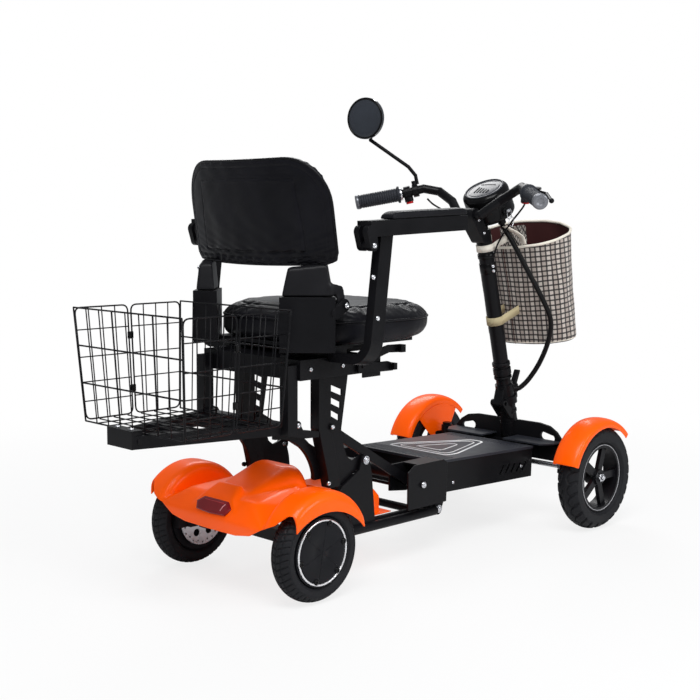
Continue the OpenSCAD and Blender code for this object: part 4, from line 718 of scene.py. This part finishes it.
def tyre(end, side, centre, out, r, w, rim, blocks, tread, depth):
    """A tyre with a cut tread; out is +1 or -1, the side that faces away from the machine."""
    name, body = f"{end}_tread_{side}", f"{end}_wheel_{side}"
    steps = 720
    crown, half = 0.62 * w, w / 2
    shoulder = r - crown + sqrt(crown ** 2 - (half * 0.985) ** 2)
    arc = asin(0.985 * half / crown)
    # from the outer bead over the crown to the inner bead, then back inside: (radius, across)
    outline = [(rim + 0.4 + t * 9, half * (0.72 + 0.24 * sin(t * pi / 2))) for t in np.linspace(0, 1, 7)]
    outline += [(rim + 9.4 + t * (shoulder - rim - 9.4), half * (0.96 + 0.025 * sin(t * pi / 2)))
                for t in np.linspace(0, 1, 6)[1:]]
    outline += [(r - crown + crown * cos(t * arc), crown * sin(t * arc)) for t in np.linspace(1, -1, 41)[1:-1]]
    outline += [(a, -b) for a, b in reversed(outline[:12])]
    outline += [(rim + a, half * b) for a, b in ((0.4, -0.6), (6, -0.3), (6, 0.3), (0.4, 0.6))]
    radius, across = np.array(outline).T
    u = np.arange(steps)[:, None] / steps * blocks
    zig, zag = (np.abs((u + shift) % 1 * 2 - 1) * 2 - 1 for shift in (0, 0.5))
    radius = radius - depth * tread(u, across / half, zig, zag) * ease((radius - (r - crown * 0.55)) / (crown * 0.2))
    turns = round_angles(steps)[:, None]
    verts = np.stack([np.cos(turns) * radius, out * across + 0 * radius, np.sin(turns) * radius], -1) * MM + at(centre)
    put(name, (verts.reshape(-1, 3), quads(steps, len(across), ring=True)), "tyre", body, node=f"{end}_tyre_{side}")
    # two raised lines on the sidewall
    for k, (line_r, share) in enumerate(((rim + 6.5, 0.93), (shoulder - 2, 0.985))):
        line = [at(centre) + np.array((cos(t) * line_r, out * half * share, sin(t) * line_r)) * MM
                for t in turns[::3, 0]]
        put(f"{name}_line_{k}", tube(line, 0.5, 6, closed=True), "tyre", body)


def hub_trim(name, body, centre, out):
    """The bright ring, screws and faint ribs of a hub motor's cap."""
    face = 24.25

    def spot(r, degrees, proud):
        t = radians(degrees)
        return centre[0] + r * cos(t), centre[1] + out * (face + proud), centre[2] + r * sin(t)

    c, axis = at(spot(0, 0, 0)), (0, out, 0)
    disc = [(0, 0.6), (10, 0.7), (11, 0.3), (24, 0.4), (25, 0.8), (58, 0.5), (61.5, 0.1), (61.5, -1)]
    put(name + "_disc", lathe(disc, c, axis, 128), "hub_paint", body)
    outline = [(62.4, -1), (62.4, 1.2), (63, 1.6), (65.6, 1.5), (66.2, 0.6), (66.2, -1)]
    put(name + "_ring", lathe(outline, c, axis, 160), "bright", body)
    for i in range(6):
        place = spot(58.5, 60 * i + 12, 0.6)
        socket_screw(f"{name}_screw_{i}", place, axis, 6.2, 2.6, body, "black_plastic", "rim_paint")
    for i in range(3):
        line = [at(spot(r, 60 * i + 20, 0.65)) for r in np.linspace(-52, 52, 9)]
        put(f"{name}_rib_{i}", tube(line, 0.35, 6), "hub_paint", body)


def rim_trim(side, centre, out):
    """A thin light line round the rim, a bright hexagon nut and a valve."""
    body, axis = f"front_wheel_{side}", (0, out, 0)
    line = [(79.2, 20.6), (79.2, 21.7), (80.6, 21.7), (80.6, 20.6)]
    put(f"rim_{side}_line", lathe(line, at(centre), axis, 160), "pinstripe", body)
    nut = [(0, 0), (11, 0), (11, 5), (9, 7), (6, 7), (6, 10), (4.5, 11.5), (0, 11.5)]
    nut_at = at((centre[0], centre[1] + out * 18.2, centre[2]))
    put(f"wheel_nut_{side}", lathe(nut, nut_at, axis, 6), "steel", f"{side}_knuckle", smooth=False)
    spoke = np.array((cos(radians(200)), 0, sin(radians(200))))
    base = at(np.array(centre) + 72 * spoke)
    put(f"valve_{side}", rod(base, base + (np.array((0, out * 16, 0)) - 14 * spoke) * MM, 2.6, 10), "frame_paint", body)


for side, s in SIDES:
    rear, front = (0, s * REAR_Y, REAR_R), (FRONT_X, s * FRONT_Y, FRONT_R)
    tyre("rear", side, rear, s, REAR_R, 51.5, 70, 46, rear_tread, 2.6)
    tyre("front", side, front, s, FRONT_R, 56.5, 84, 26, front_tread, 4.2)
    hub_trim(f"hub_{side}", f"rear_wheel_{side}", rear, s)
    rim_trim(side, front, s)


# ---- deck ----

def deck_line(name, points, width):
    """A flat strip laid on the deck, with rounded corners."""
    path = np.array(filleted([(x, y, 0) for x, y in points], 14, steps=8))
    verts = []
    for here, ahead in zip(path, np.roll(path, -1, 0) - np.roll(path, 1, 0)):
        side = unit(np.array((-ahead[1], ahead[0], 0))) * width / 2
        verts += [at(on_deck(*(here + side * w)[:2], h)) for w, h in ((-1, 0.0), (-0.8, 0.7), (0.8, 0.7), (1, 0.0))]
    put(name, (verts, quads(len(path), 4, ring=True)), "deck_line", "chassis")


deck_line("deck_line_outer", [(70, -90), (70, 90), (112, 90), (300, 18), (300, -18), (112, -90)], 6.0)
deck_line("deck_line_mid", [(86, -72), (86, 72), (114, 72), (276, 12), (276, -12), (114, -72)], 3.4)
deck_line("deck_line_inner", [(112, -36), (112, 36), (124, 36), (214, 8), (214, -8), (124, -36)], 4.0)
# fine raised ribs on the tread plate, clear of the lines
ribs = [rod(at(on_deck(a, y, 0.15)), at(on_deck(b, y, 0.15)), 0.8, 6)
        for y in range(-120, 121, 10) for a, b in ((6, 58), (314, 350))]
put("deck_ribs", joined(ribs), "deck_tread", "chassis")


# ---- crate ----

def crate():
    """Round wires: plain grids at the ends and two hooped panels on each side, held by clips."""
    rear, front, low, height, half_top = -305.0, -41.0, 350.3, 228.0, 174.0
    flare = height * tan(radians(3.5))
    thick, thin, floor_r, clip_r = 1.7, 1.25, 1.3, 2.6
    wires, clips = [], []

    def spot(x, y, up):
        """x and y run from -1 to 1 over the crate, up from 0 to 1."""
        long = (front - rear) / 2 - (1 - up) * flare
        wide = half_top - (1 - up) * flare
        return at(((rear + front) / 2 + x * (long - 1.5), y * (wide - 1.5), low + 1.6 + up * (height - 3.2)))

    def wire(start, end, r):
        wires.append(rod(spot(*start), spot(*end), r))

    for x in (-1, 1):
        for up in (0.0, 0.34, 0.67, 1.0):
            wire((x, -1, up), (x, 1, up), thick)
        for k in range(9):
            wire((x, k / 4 - 1, 0), (x, k / 4 - 1, 1), thick if k in (0, 2, 5, 8) else thin)
    for y in (-1, 1):
        for a, b in ((-0.985, -0.03), (0.03, 0.985)):
            hoop = filleted([spot(a, y, 0.01), spot(b, y, 0.01), spot(b, y, 0.995), spot(a, y, 0.995)], 0.014)
            wires.append(tube(hoop, thick, 8, closed=True))
            for x in (a + (b - a) * k / 4 for k in (1, 2, 3)):
                wire((x, y, 0.01), (x, y, 0.99), thin)
            for up in (0.17, 0.34, 0.56, 0.8):
                wire((a, y, up), (b, y, up), thin)
        for up in (0.24, 0.72):
            for dz in np.linspace(-5, 5, 5):
                shift = np.array((0, 0, dz * MM))
                clips.append(rod(spot(-0.045, y, up) + shift, spot(0.045, y, up) + shift, clip_r))
    for k in range(1, 7):
        wire((2 * k / 7 - 1, -1, 0), (2 * k / 7 - 1, 1, 0), floor_r)
    for k in range(1, 8):
        wire((-1, k / 4 - 1, 0), (1, k / 4 - 1, 0), floor_r)
    put("crate_wires", joined(wires), "frame_paint", "seat_frame", node="basket")
    put("crate_clips", joined(clips), "black_plastic", "seat_frame")


crate()


# ---- cloth bag ----

def bag_point(angle, h, inset):
    """A point of the wall, h along the bag's own axis."""
    grow = 1 + (85 / 75 - 1) * h / 317
    # the wall hangs in slow folds and bellies out a little above the base
    sway = 1.6 * sin(3 * angle + h / 55) + 1.1 * sin(7 * angle - h / 34) + 0.5 * sin(13 * angle + h / 19)
    base = 1 - 0.10 * (1 - min(h / 16, 1)) ** 2
    fuller = 4.5 * max(0, 1 - h / 230)
    a, b = (75 * grow - inset + 0.7 * fuller) * base, (125 * grow - inset + fuller) * base
    return on_bag((a - 2.2 + sway * 0.9) * cos(angle), (b - 2.2 + sway) * sin(angle), h)


def bag_wall(angle, up, inset):
    """A point of the bag in metres: angle round it, up from 0 at the base to 1 at the slanting rim."""
    low, high = 150.0, 330.0
    for _ in range(24):
        h = (low + high) / 2
        x, _y, z = bag_point(angle, h, inset)
        if z < 712 + tan(radians(24)) * (x - 920):
            low = h
        else:
            high = h
    return at(bag_point(angle, 4 + up * (low - 4), inset))


def bag():
    """The cloth of the bag: checked outside, dark lining inside, made as one thin sheet."""
    around, rows, thick = 180, 56, 2.2
    wall = np.array([[[bag_wall(2 * pi * i / around, j / rows, inset) for i in range(around)]
                      for j in range(rows + 1)] for inset in (0.0, thick)])
    wall[1, 0, :, 2] += thick * MM
    outer, lining = wall
    middle = outer[rows // 2]
    length = np.append(0, np.cumsum(norm(np.roll(middle, -1, 0) - middle, axis=1)))
    length *= round(length[-1] / CHECK) * CHECK / length[-1]
    rise = norm(outer - outer[0], axis=2)
    verts = list(wall.reshape(-1, 3))
    faces, uvs, kinds = [], [], []

    def add(a, b, kind, uv=None):
        for i, face in enumerate(band(a, b)):
            faces.append(face)
            kinds.append(kind)
            uvs.extend(uv(i) if uv else [tuple(verts[q][:2]) for q in face])

    shells = np.arange(len(verts)).reshape(2, rows + 1, around)
    for kind, shell in enumerate(shells):
        for j in range(rows):
            add(shell[j], shell[j + 1], kind, lambda i: [(length[i + right], rise[j + up, i])
                                                         for right, up in ((0, 0), (1, 0), (1, 1), (0, 1))])
    add(shells[0, rows], shells[1, rows], 0, lambda i: [(length[i], rise[rows, 0])] * 4)
    # base: rings that close towards the middle on both faces
    for kind, shell in enumerate(shells):
        edge, centre = shell[0], wall[kind, 0].mean(0)
        for share in (0.8, 0.55, 0.3):
            inner = np.arange(around) + len(verts)
            verts += [centre + (p - centre) * share for p in wall[kind, 0]]
            add(edge, inner, kind)
            edge = inner
        verts.append(centre)
        add(edge, [len(verts) - 1], kind)
    mesh = bpy.data.meshes.new("bag_cloth")
    mesh.from_pydata([tuple(v) for v in verts], [], faces)
    mesh.uv_layers.new(name="cloth").data.foreach_set("uv", np.array(uvs, np.float32).ravel())
    dress(mesh, "bag_cloth")
    mesh.materials.append(M["bag_lining"])
    mesh.polygons.foreach_set("material_index", kinds)
    face_outwards(mesh)
    body = BODY_OF["bag"]
    o = declare(linked("bag_cloth", mesh), body, "bag")
    rim = (outer[rows] + lining[rows]) / 2
    piping = put("bag_piping", tube(rim, 3.4, 10, closed=True), "piping", body)
    # seams: down the back and round the base
    seam = outer[::2, around // 2] + (-0.0006, 0, 0)
    stitch = put("bag_seam", tube(seam, 1.1, 6), "bag_lining", body)
    base_seam = put("bag_base_seam", tube(outer[1], 1.2, 6, closed=True), "piping", body)
    # a checked pocket patch inside, below the rim
    cols, high = 14, 10
    patch_verts = [bag_wall(radians(18 + 34 * i / cols), 0.97 - 0.26 * j / high,
                            3.4 + 0.8 * sin(pi * i / cols))
                   for j in range(high + 1) for i in range(cols + 1)]
    patch_uv = [(a * 0.0052 + b * 0.004, b * 0.0065 - a * 0.004) for j in range(high) for i in range(cols)
                for a, b in ((i, j), (i + 1, j), (i + 1, j + 1), (i, j + 1))]
    patch = put("bag_patch", (patch_verts, quads(high + 1, cols + 1, wrap=False)), "bag_cloth", body)
    patch.data.uv_layers.new(name="cloth").data.foreach_set("uv", np.array(patch_uv, np.float32).ravel())


def straps():
    """Two loops that hold the bag to the stem, and a short tab that hangs its rim from the bar."""
    body = BODY_OF["bag_strap"]
    for name, mat, t, width, reach in (("bag_strap_low", "strap_cloth", 306, 21, 62),
                                       ("bag_strap_top", "piping", 495, 17, 46)):
        run = [(reach + 14, 24, t + 8), (reach - 10, 23.5, t + 6), (14, 21.6, t + 2)]
        turns = [radians(-70 - 220 * k / 16) for k in range(17)]
        path = [at(on_stem(x, -y, z)) for x, y, z in run]
        path += [at(on_stem(21.2 * cos(a), 21.2 * sin(a), t)) for a in turns]
        path += [at(on_stem(*p)) for p in reversed(run)]
        put(name, ribbon(catmull(path, 3), width, 1.8, upward(on_stem)), mat, body,
            "bag_strap" if name == "bag_strap_low" else None)
    tab = at([(846, -62, 688), (838, -60, 705), (822, -56, 716), (800, -50, 726), (786, -46, 733)])
    put("bag_tab", ribbon(catmull(tab, 5), 19, 1.8, unit(np.array((0.25, 0.85, -0.1)))), "piping", body)


bag()
straps()


# ---- cables ----

def cables():
    """The sheathed loom and the two brake cables, on the same routes as in the CAD model."""
    body, gland, turn = BODY_OF["cables"], 33.3, radians(-33)
    start = on_pod(-15, -34, -49.3)
    end = on_stem(gland * cos(turn), gland * sin(turn), 114)
    loom = [start, start + (7, 0, -12), (803, -58, 695), (816, -84, 643), (868, -110, 546), (897, -112, 494),
            (911, -95, 441), (917, -66, 385), (908, -40, 341), end + (7, -5, 2), end]
    path = catmull(at(loom), 26)
    ribbed = 6.3 + 0.25 * np.cos(np.arange(len(path)) * pi)
    put("cable_loom", tube(path, ribbed, 16), "cable_rubber", body, node="cables")
    wire = [(722, 150, 800), (736, 142, 786), (752, 116, 768), (764, 84, 744), (772, 52, 712), (779, 30, 686),
            (779, 22, 664)]
    for side, s in SIDES:
        line = catmull(at(wire) * (1, s, 1), 10)
        put(f"brake_cable_{side}", tube(line, 2.2, 12), "cable_rubber", body)


cables()


# ---- seat ----

def puff(o, pressure, cap, held):
    """Fills a pad from inside against the points that its seams hold, as foam does under a cover."""
    rest = coords(o.data)
    group = o.vertex_groups.new(name="held")
    for share in (0.3, 0.6, 1.0):
        picked = np.nonzero((held > share - 0.3) & (held <= share))[0]
        group.add([int(i) for i in picked], share, "REPLACE")
    cloth = o.modifiers.new("cloth", "CLOTH").settings
    cloth.quality, cloth.mass = 4, 0.25
    cloth.tension_stiffness = cloth.compression_stiffness = 12
    cloth.shear_stiffness, cloth.bending_stiffness = 6, 0.4
    cloth.use_pressure, cloth.uniform_pressure_force = True, pressure
    cloth.vertex_group_mass = "held"
    cloth.effector_weights.gravity = 0
    SCENE.frame_start, SCENE.frame_end = 1, 20
    for f in range(1, 21):
        SCENE.frame_set(f)
    bpy.context.view_layer.update()
    moved = coords(o.evaluated_get(bpy.context.evaluated_depsgraph_get()).to_mesh()) - rest
    o.modifiers.clear()
    SCENE.frame_set(1)
    far = norm(moved, axis=1)[:, None]
    set_coords(o.data, rest + moved * np.minimum(1, cap / np.maximum(far, 1e-9)))


def finer(o):
    more = o.modifiers.new("finer", "SUBSURF")
    more.levels = more.render_levels = 1
    mesh = evaluated(o)
    mesh.polygons.foreach_set("use_smooth", [True] * len(mesh.polygons))


def pressed(o, depth):
    """Moves each point along its normal by depth, one value for each point."""
    set_coords(o.data, coords(o.data) + triples(o.data.vertex_normals, "vector") * depth[:, None])


def cap_box(o, node, spare):
    """Keeps a soft piece inside its CAD node's box, give or take a little."""
    low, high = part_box(node)
    set_coords(o.data, np.clip(coords(o.data), np.array(low) - spare, np.array(high) + spare))


def groove(distance, width):
    """1 on a seam, falling to 0 at width from it."""
    return np.clip(1 - np.abs(distance) / width, 0, 1) ** 2


def belt(co, level, count=140):
    """A smooth closed line round a pad where it is widest, at a height."""
    mid = co[:, :2].mean(0)
    near = co[np.abs(co[:, 2] - level) < 0.006]
    angles = np.arctan2(near[:, 1], near[:, 0] - mid[0])
    line = []
    for a in round_angles(count) - pi:
        some = near[np.abs(np.angle(np.exp(1j * (angles - a)))) < 0.05]
        r = np.percentile(norm(some[:, :2] - mid, axis=1), 88) if len(some) else 0
        line.append((mid[0] + r * cos(a), mid[1] + r * sin(a), level))
    for _ in range(3):
        line = (np.roll(line, 1, 0) + 2 * np.array(line) + np.roll(line, -1, 0)) / 4
    return line


def seat_cushion():
    o = moulded("seat_cushion", "seat_cushion_cover", "leather", 0.006, 6, ride=False)
    co = coords(o.data)
    low, high = co.min(0), co.max(0)
    seam_z = high[2] - 0.026
    set_coords(o.data, co * (1 - 0.006) + 0.006 * co.mean(0))
    held = np.clip(1 - (co[:, 2] - low[2]) / (high[2] - low[2]) / 0.16, 0, 1) + groove(co[:, 2] - seam_z, 0.008)
    puff(o, 4.0, 0.010, np.clip(held, 0, 1))
    finer(o)
    x, y, z = coords(o.data).T
    mid_x = x.mean()
    dx, dy = np.abs(x - mid_x) / 0.184, np.abs(y) / 0.215
    top = ease((z - (high[2] - 0.02)) / 0.012)
    # a dished sitting face, a seam round it, a cross seam and a panel seam low on the side
    depth = -0.006 * top * (1 - ease(np.maximum(dx, dy) / 0.72))
    inset = (np.abs(dy - 0.74) < 2) * (np.sqrt(np.clip((dx / 0.78) ** 4 + (dy / 0.78) ** 4, 0, 9)) ** 0.5 - 1) * 0.16
    depth -= 0.0026 * top * groove(inset, 0.004)
    depth -= 0.0022 * top * groove(x - (mid_x + 0.055), 0.004) * (dy < 0.76)
    depth -= 0.0022 * (1 - top) * groove(z - seam_z, 0.0035)
    rumple = np.sin(x * 61 + 1.3 * np.sin(y * 43)) * np.sin(y * 57 + 1.1 * np.sin(x * 37 + 2))
    pressed(o, depth + 0.0006 * rumple)
    cap_box(o, "seat_cushion", 0.004)
    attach(o, "seat")
    put("seat_piping", tube(belt(coords(o.data), seam_z), 2.4, 8, closed=True), "leather_edge", "seat")


def pad_frame(co):
    """Row-frame points in the backrest pad's own millimetres: forward, left and up; on_pad's inverse."""
    c, s = cos(radians(PAD_LEAN)), sin(radians(PAD_LEAN))
    x, z = co[:, 0] / MM + MID_X, co[:, 2] / MM - PAD_Z
    return x * c + z * s, co[:, 1] / MM, -x * s + z * c


def inside_pad(y, z, half_w=214, height=210, corner=95):
    """Distance in millimetres inside the pad's outline, which has two round upper corners."""
    qy, qz = np.abs(y) - (half_w - corner), z - (height - corner)
    upper = corner - np.where((qy > 0) & (qz > 0), np.hypot(qy, qz), np.maximum(qy, qz))
    return np.minimum(upper, z)


def even_steps(path, step):
    """A closed path in even steps."""
    p = np.array(path + [path[0]], float)
    run = np.append(0, np.cumsum(norm(np.diff(p, axis=0), axis=1)))
    s = np.linspace(0, run[-1], int(run[-1] / step), endpoint=False)
    return zip(np.interp(s, run, p[:, 0]), np.interp(s, run, p[:, 1]))


def backrest():
    o = moulded("backrest_pad", "backrest_cover", "leather", 0.005, 7, ride=False)
    _, fy, fz = pad_frame(coords(o.data))
    held = np.clip(1 - inside_pad(fy, fz) / 7, 0, 1)
    held += 0.9 * groove(fz - 12, 10) * np.max([groove(fy - p, 12) for p in (-110, 0, 110)], axis=0)
    puff(o, 4.0, 0.012, np.clip(held, 0, 1))
    finer(o)
    _, fy, fz = pad_frame(coords(o.data))
    inside = inside_pad(fy, fz)
    rear = ease((-triples(o.data.vertex_normals, "vector")[:, 0] - 0.2) / 0.4)
    # a sewn pocket on the rear face: raised panel with a seam round it and a slack mouth
    half_w, low, high = 150 - 8 * ease((fz - 60) / 100), 26, 168 + 6 * np.cos(fy / 150 * pi / 2)
    d = np.minimum(np.minimum(half_w - np.abs(fy), fz - low), high - fz)
    pocket = ease(d / 5)
    mouth = ease((high - fz + 10) / 5) * ease((half_w + 4 - np.abs(fy)) / 4) * groove(fz - high, 9)
    slack = np.sin(fy / 17 + 0.8 * np.sin(fz / 23)) * np.sin(fz / 31 + 0.5 + fy / 90)
    depth = rear * (0.0024 * pocket - 0.0026 * groove(d, 3.2) + 0.0022 * mouth + 0.0009 * pocket * slack)
    # three pinches along the lower seam, and creases that run up from them
    for p in (-112, 0, 112):
        depth -= rear * 0.0055 * np.exp(-((fy - p) / (9 + 0.25 * fz)) ** 2) * np.exp(-fz / 38)
        depth += rear * 0.0011 * np.sin((fy - p) / (3.2 + 0.10 * fz)) * np.exp(-fz / 30) * (fz > 4)
    # edge seam on both faces, slow rumples, and two seams down the front
    depth -= 0.0020 * groove(inside - 15, 3.2)
    depth += 0.0004 * np.sin(fy / 9 + 2 * np.sin(fz / 21)) * np.sin(fz / 11)
    depth -= 0.0022 * (1 - rear) * np.max([groove(fy - p, 3.5) for p in (-72, 72)], axis=0) * (inside > 18)
    pressed(o, depth)
    cap_box(o, "backrest_pad", 0.006)
    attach(o, "back")
    # piping round the rim of the pad, which curves back from its middle
    corner, half, top, curve = 95, 213, 209, 560
    quarter = np.linspace(0, pi / 2, 12)
    path = [(half - corner + corner * cos(a), top - corner + corner * sin(a)) for a in quarter]
    path += [(-half + corner - corner * sin(a), top - corner + corner * cos(a)) for a in quarter]
    for y in np.linspace(-half, half, 25):
        e = min(1, (half - abs(y)) / 14)
        path.append((y, 14 - 13 * sqrt(max(0, 1 - (1 - e) ** 2))))
    rim = [at(on_pad(curve - sqrt(curve ** 2 - y * y) + 3.5, y * 0.998, z)) for y, z in even_steps(path, 12)]
    put("backrest_piping", tube(rim, 2.8, 8, closed=True), "leather_edge", "back")


def arm_cushion(side):
    """An armrest's pad: crowned across, with a seam along each edge."""
    node = f"armrest_pad_{side}"
    o = moulded(node, f"arm_cushion_{side}", "arm_pad", 0.0022, 14, ride=False)
    co = coords(o.data)
    low, high = co.min(0), co.max(0)
    across = (co[:, 1] - (low[1] + high[1]) / 2) / (high[1] - low[1]) * 2
    co[:, 2] += 0.0022 * (1 - across ** 2) * ease((co[:, 2] - low[2] - 0.006) / 0.01)
    set_coords(o.data, co)
    pressed(o, -0.0012 * groove(np.abs(across) - 0.80, 0.05))
    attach(o, BODY_OF[node])


seat_cushion()
backrest()
for side, _ in SIDES:
    arm_cushion(side)
moulded("backrest_frame", "back_covers", "dark_plastic", 0.0028, 14)


# ---- bars, dash and mirror ----

def grips():
    """Ribbed rubber with flanges, pale end plugs and clamps."""
    outline = [(0, -1), (20.4, -1), (21, 0), (21, 3.5), (20, 4.8), (17.4, 5.6)]
    for s in (9 + k * 5.9 for k in range(15)):
        outline += [(16.0, s), (17.2, s + 0.7), (17.2, s + 4.4), (16.0, s + 5.1)]
    outline += [(16.4, 100), (17.9, 101.5), (17.9, 104)]
    plug = [(17.9, 103.6), (18.3, 104.6), (18.2, 109.5), (16.6, 112), (9, 112.6), (8, 111.2), (0, 111)]
    clamp = [(13, -7.2), (15.6, -7.2), (16, -6.8), (16, -1.6), (15.6, -1.2), (13, -1.2)]
    start, end = np.array((672, 200, 810)), np.array((603, 282, 790))
    for side, s in SIDES:
        place = at(start * (1, s, 1)), (end - start) * (1, s, 1)
        node = "grips" if side == "left" else None
        put(f"grip_{side}", lathe(outline, *place, 40), "grip_rubber", "tiller", node=node)
        put(f"grip_end_{side}", lathe(plug, *place, 40), "grip_end", "tiller")
        put(f"grip_clamp_{side}", lathe(clamp, *place, 48), "steel", "tiller")


def dash():
    """The rim of the display, its segments, two bright screws and the loops of the keys."""
    centre, up = at(on_pod(0, 0, 0)), upward(on_pod)
    bezel = [(45.4, 38.2), (46, 40.4), (48, 40.8), (49.6, 39.6), (49.8, 38.2)]
    put("display_rim", lathe(bezel, centre, up, 96), "grey_paint", "tiller")
    glass = [(0, 39.6), (20, 39.3), (36, 38.8), (45.2, 38.2), (45.2, 37)]
    put("display_pane", lathe(glass, centre, up, 96), "display_glass", "tiller")

    def bar(points, r):
        return tube([at(on_pod(*p)) for p in points], r, 6)

    bars = [bar([(-20, y, 39.1), (y / 3 - 4, y, 39.3), (y / 3, y, 39.4)], 1.6) for y in (-18, -9, 0, 9, 18)]
    bars.append(bar([(20, -22, 39.0), (21, 0, 39.2), (20, 22, 39.0)], 1.2))
    put("display_segments", joined(bars), "dark_plastic", "tiller")
    for k, (x, z) in enumerate(((10, 14), (28, 8))):
        y = -sqrt(58 ** 2 - x * x) - 0.2
        socket_screw(f"pod_screw_{k}", on_pod(x, y, z), on_pod(x, y, 0) - on_pod(0, 0, 0), 4.2, 2.6, "tiller")
    # keys: a blade in the lock and two wire loops that hang from it
    lock = on_pod(-16, -60.4, -14)
    put("key_blade", tube([at(lock), at(lock - (0, 9, 0))], 3.2, 12), "steel", "key", node="ignition_key")
    for k, (dx, dz, w, h, turn) in enumerate(((0, -7, 8.0, 11, 10), (7, -25, 8.6, 11, -18))):
        hang = tilted(lock + (dx, -8 - 1.5 * k, dz), turn)
        loop = filleted([at(hang(a, 0, b)) for a, b in ((-w, -h), (w, -h), (w, h), (-w, h))], 3.5 * MM)
        put(f"key_loop_{k}", tube(loop, 1.0, 8, closed=True), "steel", "key")


def mirror():
    """A slightly domed dark glass in a raised rim, over the CAD housing."""
    yaw = radians(13)
    place = at((591, 243, 997)), (-cos(yaw), -sin(yaw), 0)
    glass = [(0, 5.0), (18, 4.7), (34, 3.9), (45.5, 3.1), (46.5, 2.8)]
    put("mirror_pane", lathe(glass, *place, 96), "mirror_glass", "mirror_head")
    rim = [(45.8, 2.6), (46.4, 4.6), (48.2, 5.2), (50.2, 4.4), (50.9, 2.6), (50.9, 0)]
    put("mirror_rim", lathe(rim, *place, 128), "black_plastic", "mirror_head")


def column_trim():
    """Rings, clamp screws and collars of the tiller."""
    for k, (t, r, h) in enumerate(((58, 24, 8), (150, 22.6, 7), (184, 23, 10), (430, 20.6, 26), (468, 21.4, 12))):
        mat, body = "black_plastic" if k > 2 else "frame_paint", "tiller" if k else "column_base"
        outline = [(r - 3, t), (r - 0.8, t), (r, t + 1), (r, t + h - 1), (r - 0.8, t + h), (r - 3, t + h)]
        put(f"column_ring_{k}", lathe(outline, at(on_stem(0, 0, 0)), upward(on_stem), 64), mat, body)
    for k, t in enumerate((437, 449)):
        socket_screw(f"clamp_screw_{k}", on_stem(-6, -20.4, t), (-0.25, -0.95, 0), 4.4, 4, "tiller")


grips()
dash()
mirror()
column_trim()
